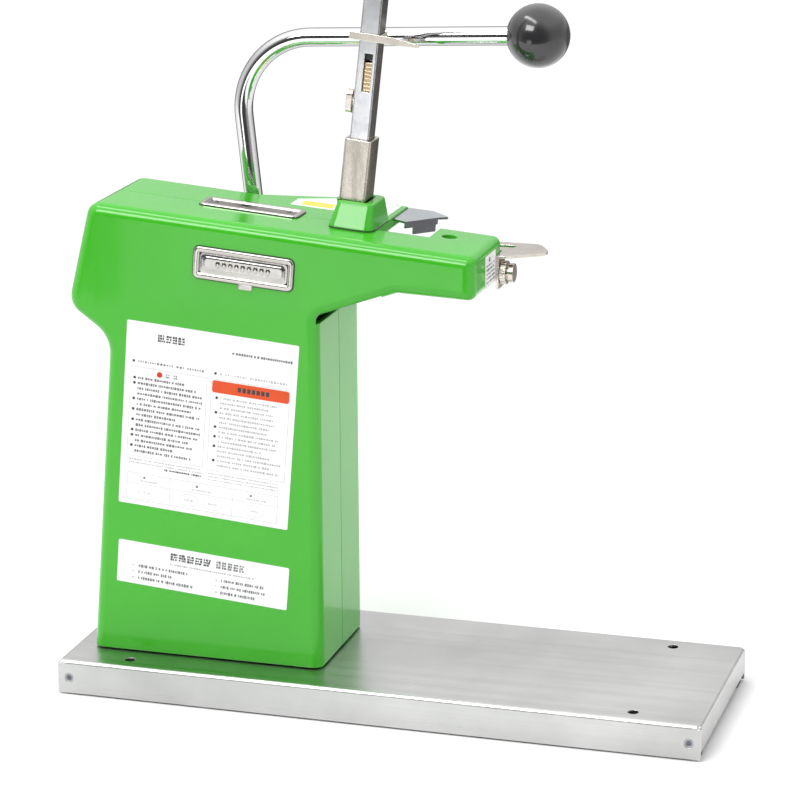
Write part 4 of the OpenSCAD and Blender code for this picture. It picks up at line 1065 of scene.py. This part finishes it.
def studio():
    """White surroundings with a bright ceiling, a dark side in front, and low dark flags
    behind that only mirror reflections meet."""
    world = bpy.data.worlds.new("studio")
    world.use_nodes = True
    tree = world.node_tree
    seen = node(tree, "ShaderNodeTexCoord").outputs["Generated"]
    axes = node(tree, "ShaderNodeSeparateXYZ", {0: seen}).outputs
    ceiling = ramp(tree, axes["Z"], 0.25, 0.8, 0.82, 1.5)
    dark_side = ramp(tree, axes["Y"], -0.88, -0.35, 0.08, 1.0)
    behind = ramp(tree, axes["Y"], 0.5, 0.85, 0.0, 0.75)
    low = ramp(tree, axes["Z"], 0.0, 0.2, 1.0, 0.0)
    ray = node(tree, "ShaderNodeLightPath").outputs
    flags = times(tree, times(tree, behind, low), ray["Is Glossy Ray"])
    kept = node(tree, "ShaderNodeMath", {0: 1.0, 1: flags}, operation="SUBTRACT").outputs[0]
    level = times(tree, times(tree, ceiling, dark_side), kept)
    shown = node(tree, "ShaderNodeMix", {0: ray["Is Camera Ray"], 2: level, 3: BACKGROUND_SHOWN},
                 data_type="FLOAT")
    tree.links.new(shown.outputs[0], tree.nodes["Background"].inputs["Strength"])
    tree.nodes["Background"].inputs["Color"].default_value = rgba(1, 1, 1)
    bpy.context.scene.world = world


def softbox(name, at, aim, size, size_y, power):
    """A rectangular lamp at one point (metres), turned towards another."""
    data = bpy.data.lights.new(name, "AREA")
    data.shape, data.size, data.size_y, data.energy = "RECTANGLE", size, size_y, power
    lamp = bpy.data.objects.new(name, data)
    lamp.location = at
    lamp.rotation_euler = (Vector(aim) - Vector(at)).to_track_quat("-Z", "Y").to_euler()
    bpy.context.scene.collection.objects.link(lamp)


def lights():
    """One strip above, one softbox in front and a weak low card for the magazine's rail."""
    middle, rail = (-0.02, 0, 0.22), (-0.03, 0, 0.42)
    softbox("overhead strip", (-0.6, -0.62, 2.3), middle, 2.0, 0.3, 14)
    softbox("front left softbox", (-0.75, -1.95, 1.85), middle, 1.3, 0.8, 30)
    softbox("low front card", (-0.62, -1.95, -0.13), rail, 0.6, 0.46, 1.7)


def camera():
    """Long lens from the front right, a little above the head."""
    data = bpy.data.cameras.new("camera")
    data.sensor_width, data.lens, data.clip_end = 36.0, 139.4, 60
    eye = bpy.data.objects.new("camera", data)
    bpy.context.scene.collection.objects.link(eye)
    eye.location = (0.544, -1.795, 0.731)
    eye.rotation_euler = [math.radians(angle) for angle in (73.99, 0.36, 16.78)]
    bpy.context.scene.camera = eye


# ---------------------------------------------------------------- assembly

camera()
floor()
studio()
lights()
dress_cad_nodes()
near_shell()
far_shell()
boot()
tray_screws()
lever()
upper_side_label()
lower_side_label()
top_shelf_label()
nose_end_label()
badge("side_badge", on_near_side(106.4, 259.6), "side_badge_frame", "side_badge_plate",
      BADGE_SATIN, tab=True)
badge("top_badge", HEAD @ move(73.5, 0.5, HEAD_H), "top_badge_frame", "top_badge_plate",
      BADGE_DARK, tab=False)
bpy.context.scene.view_settings.view_transform = "Standard"
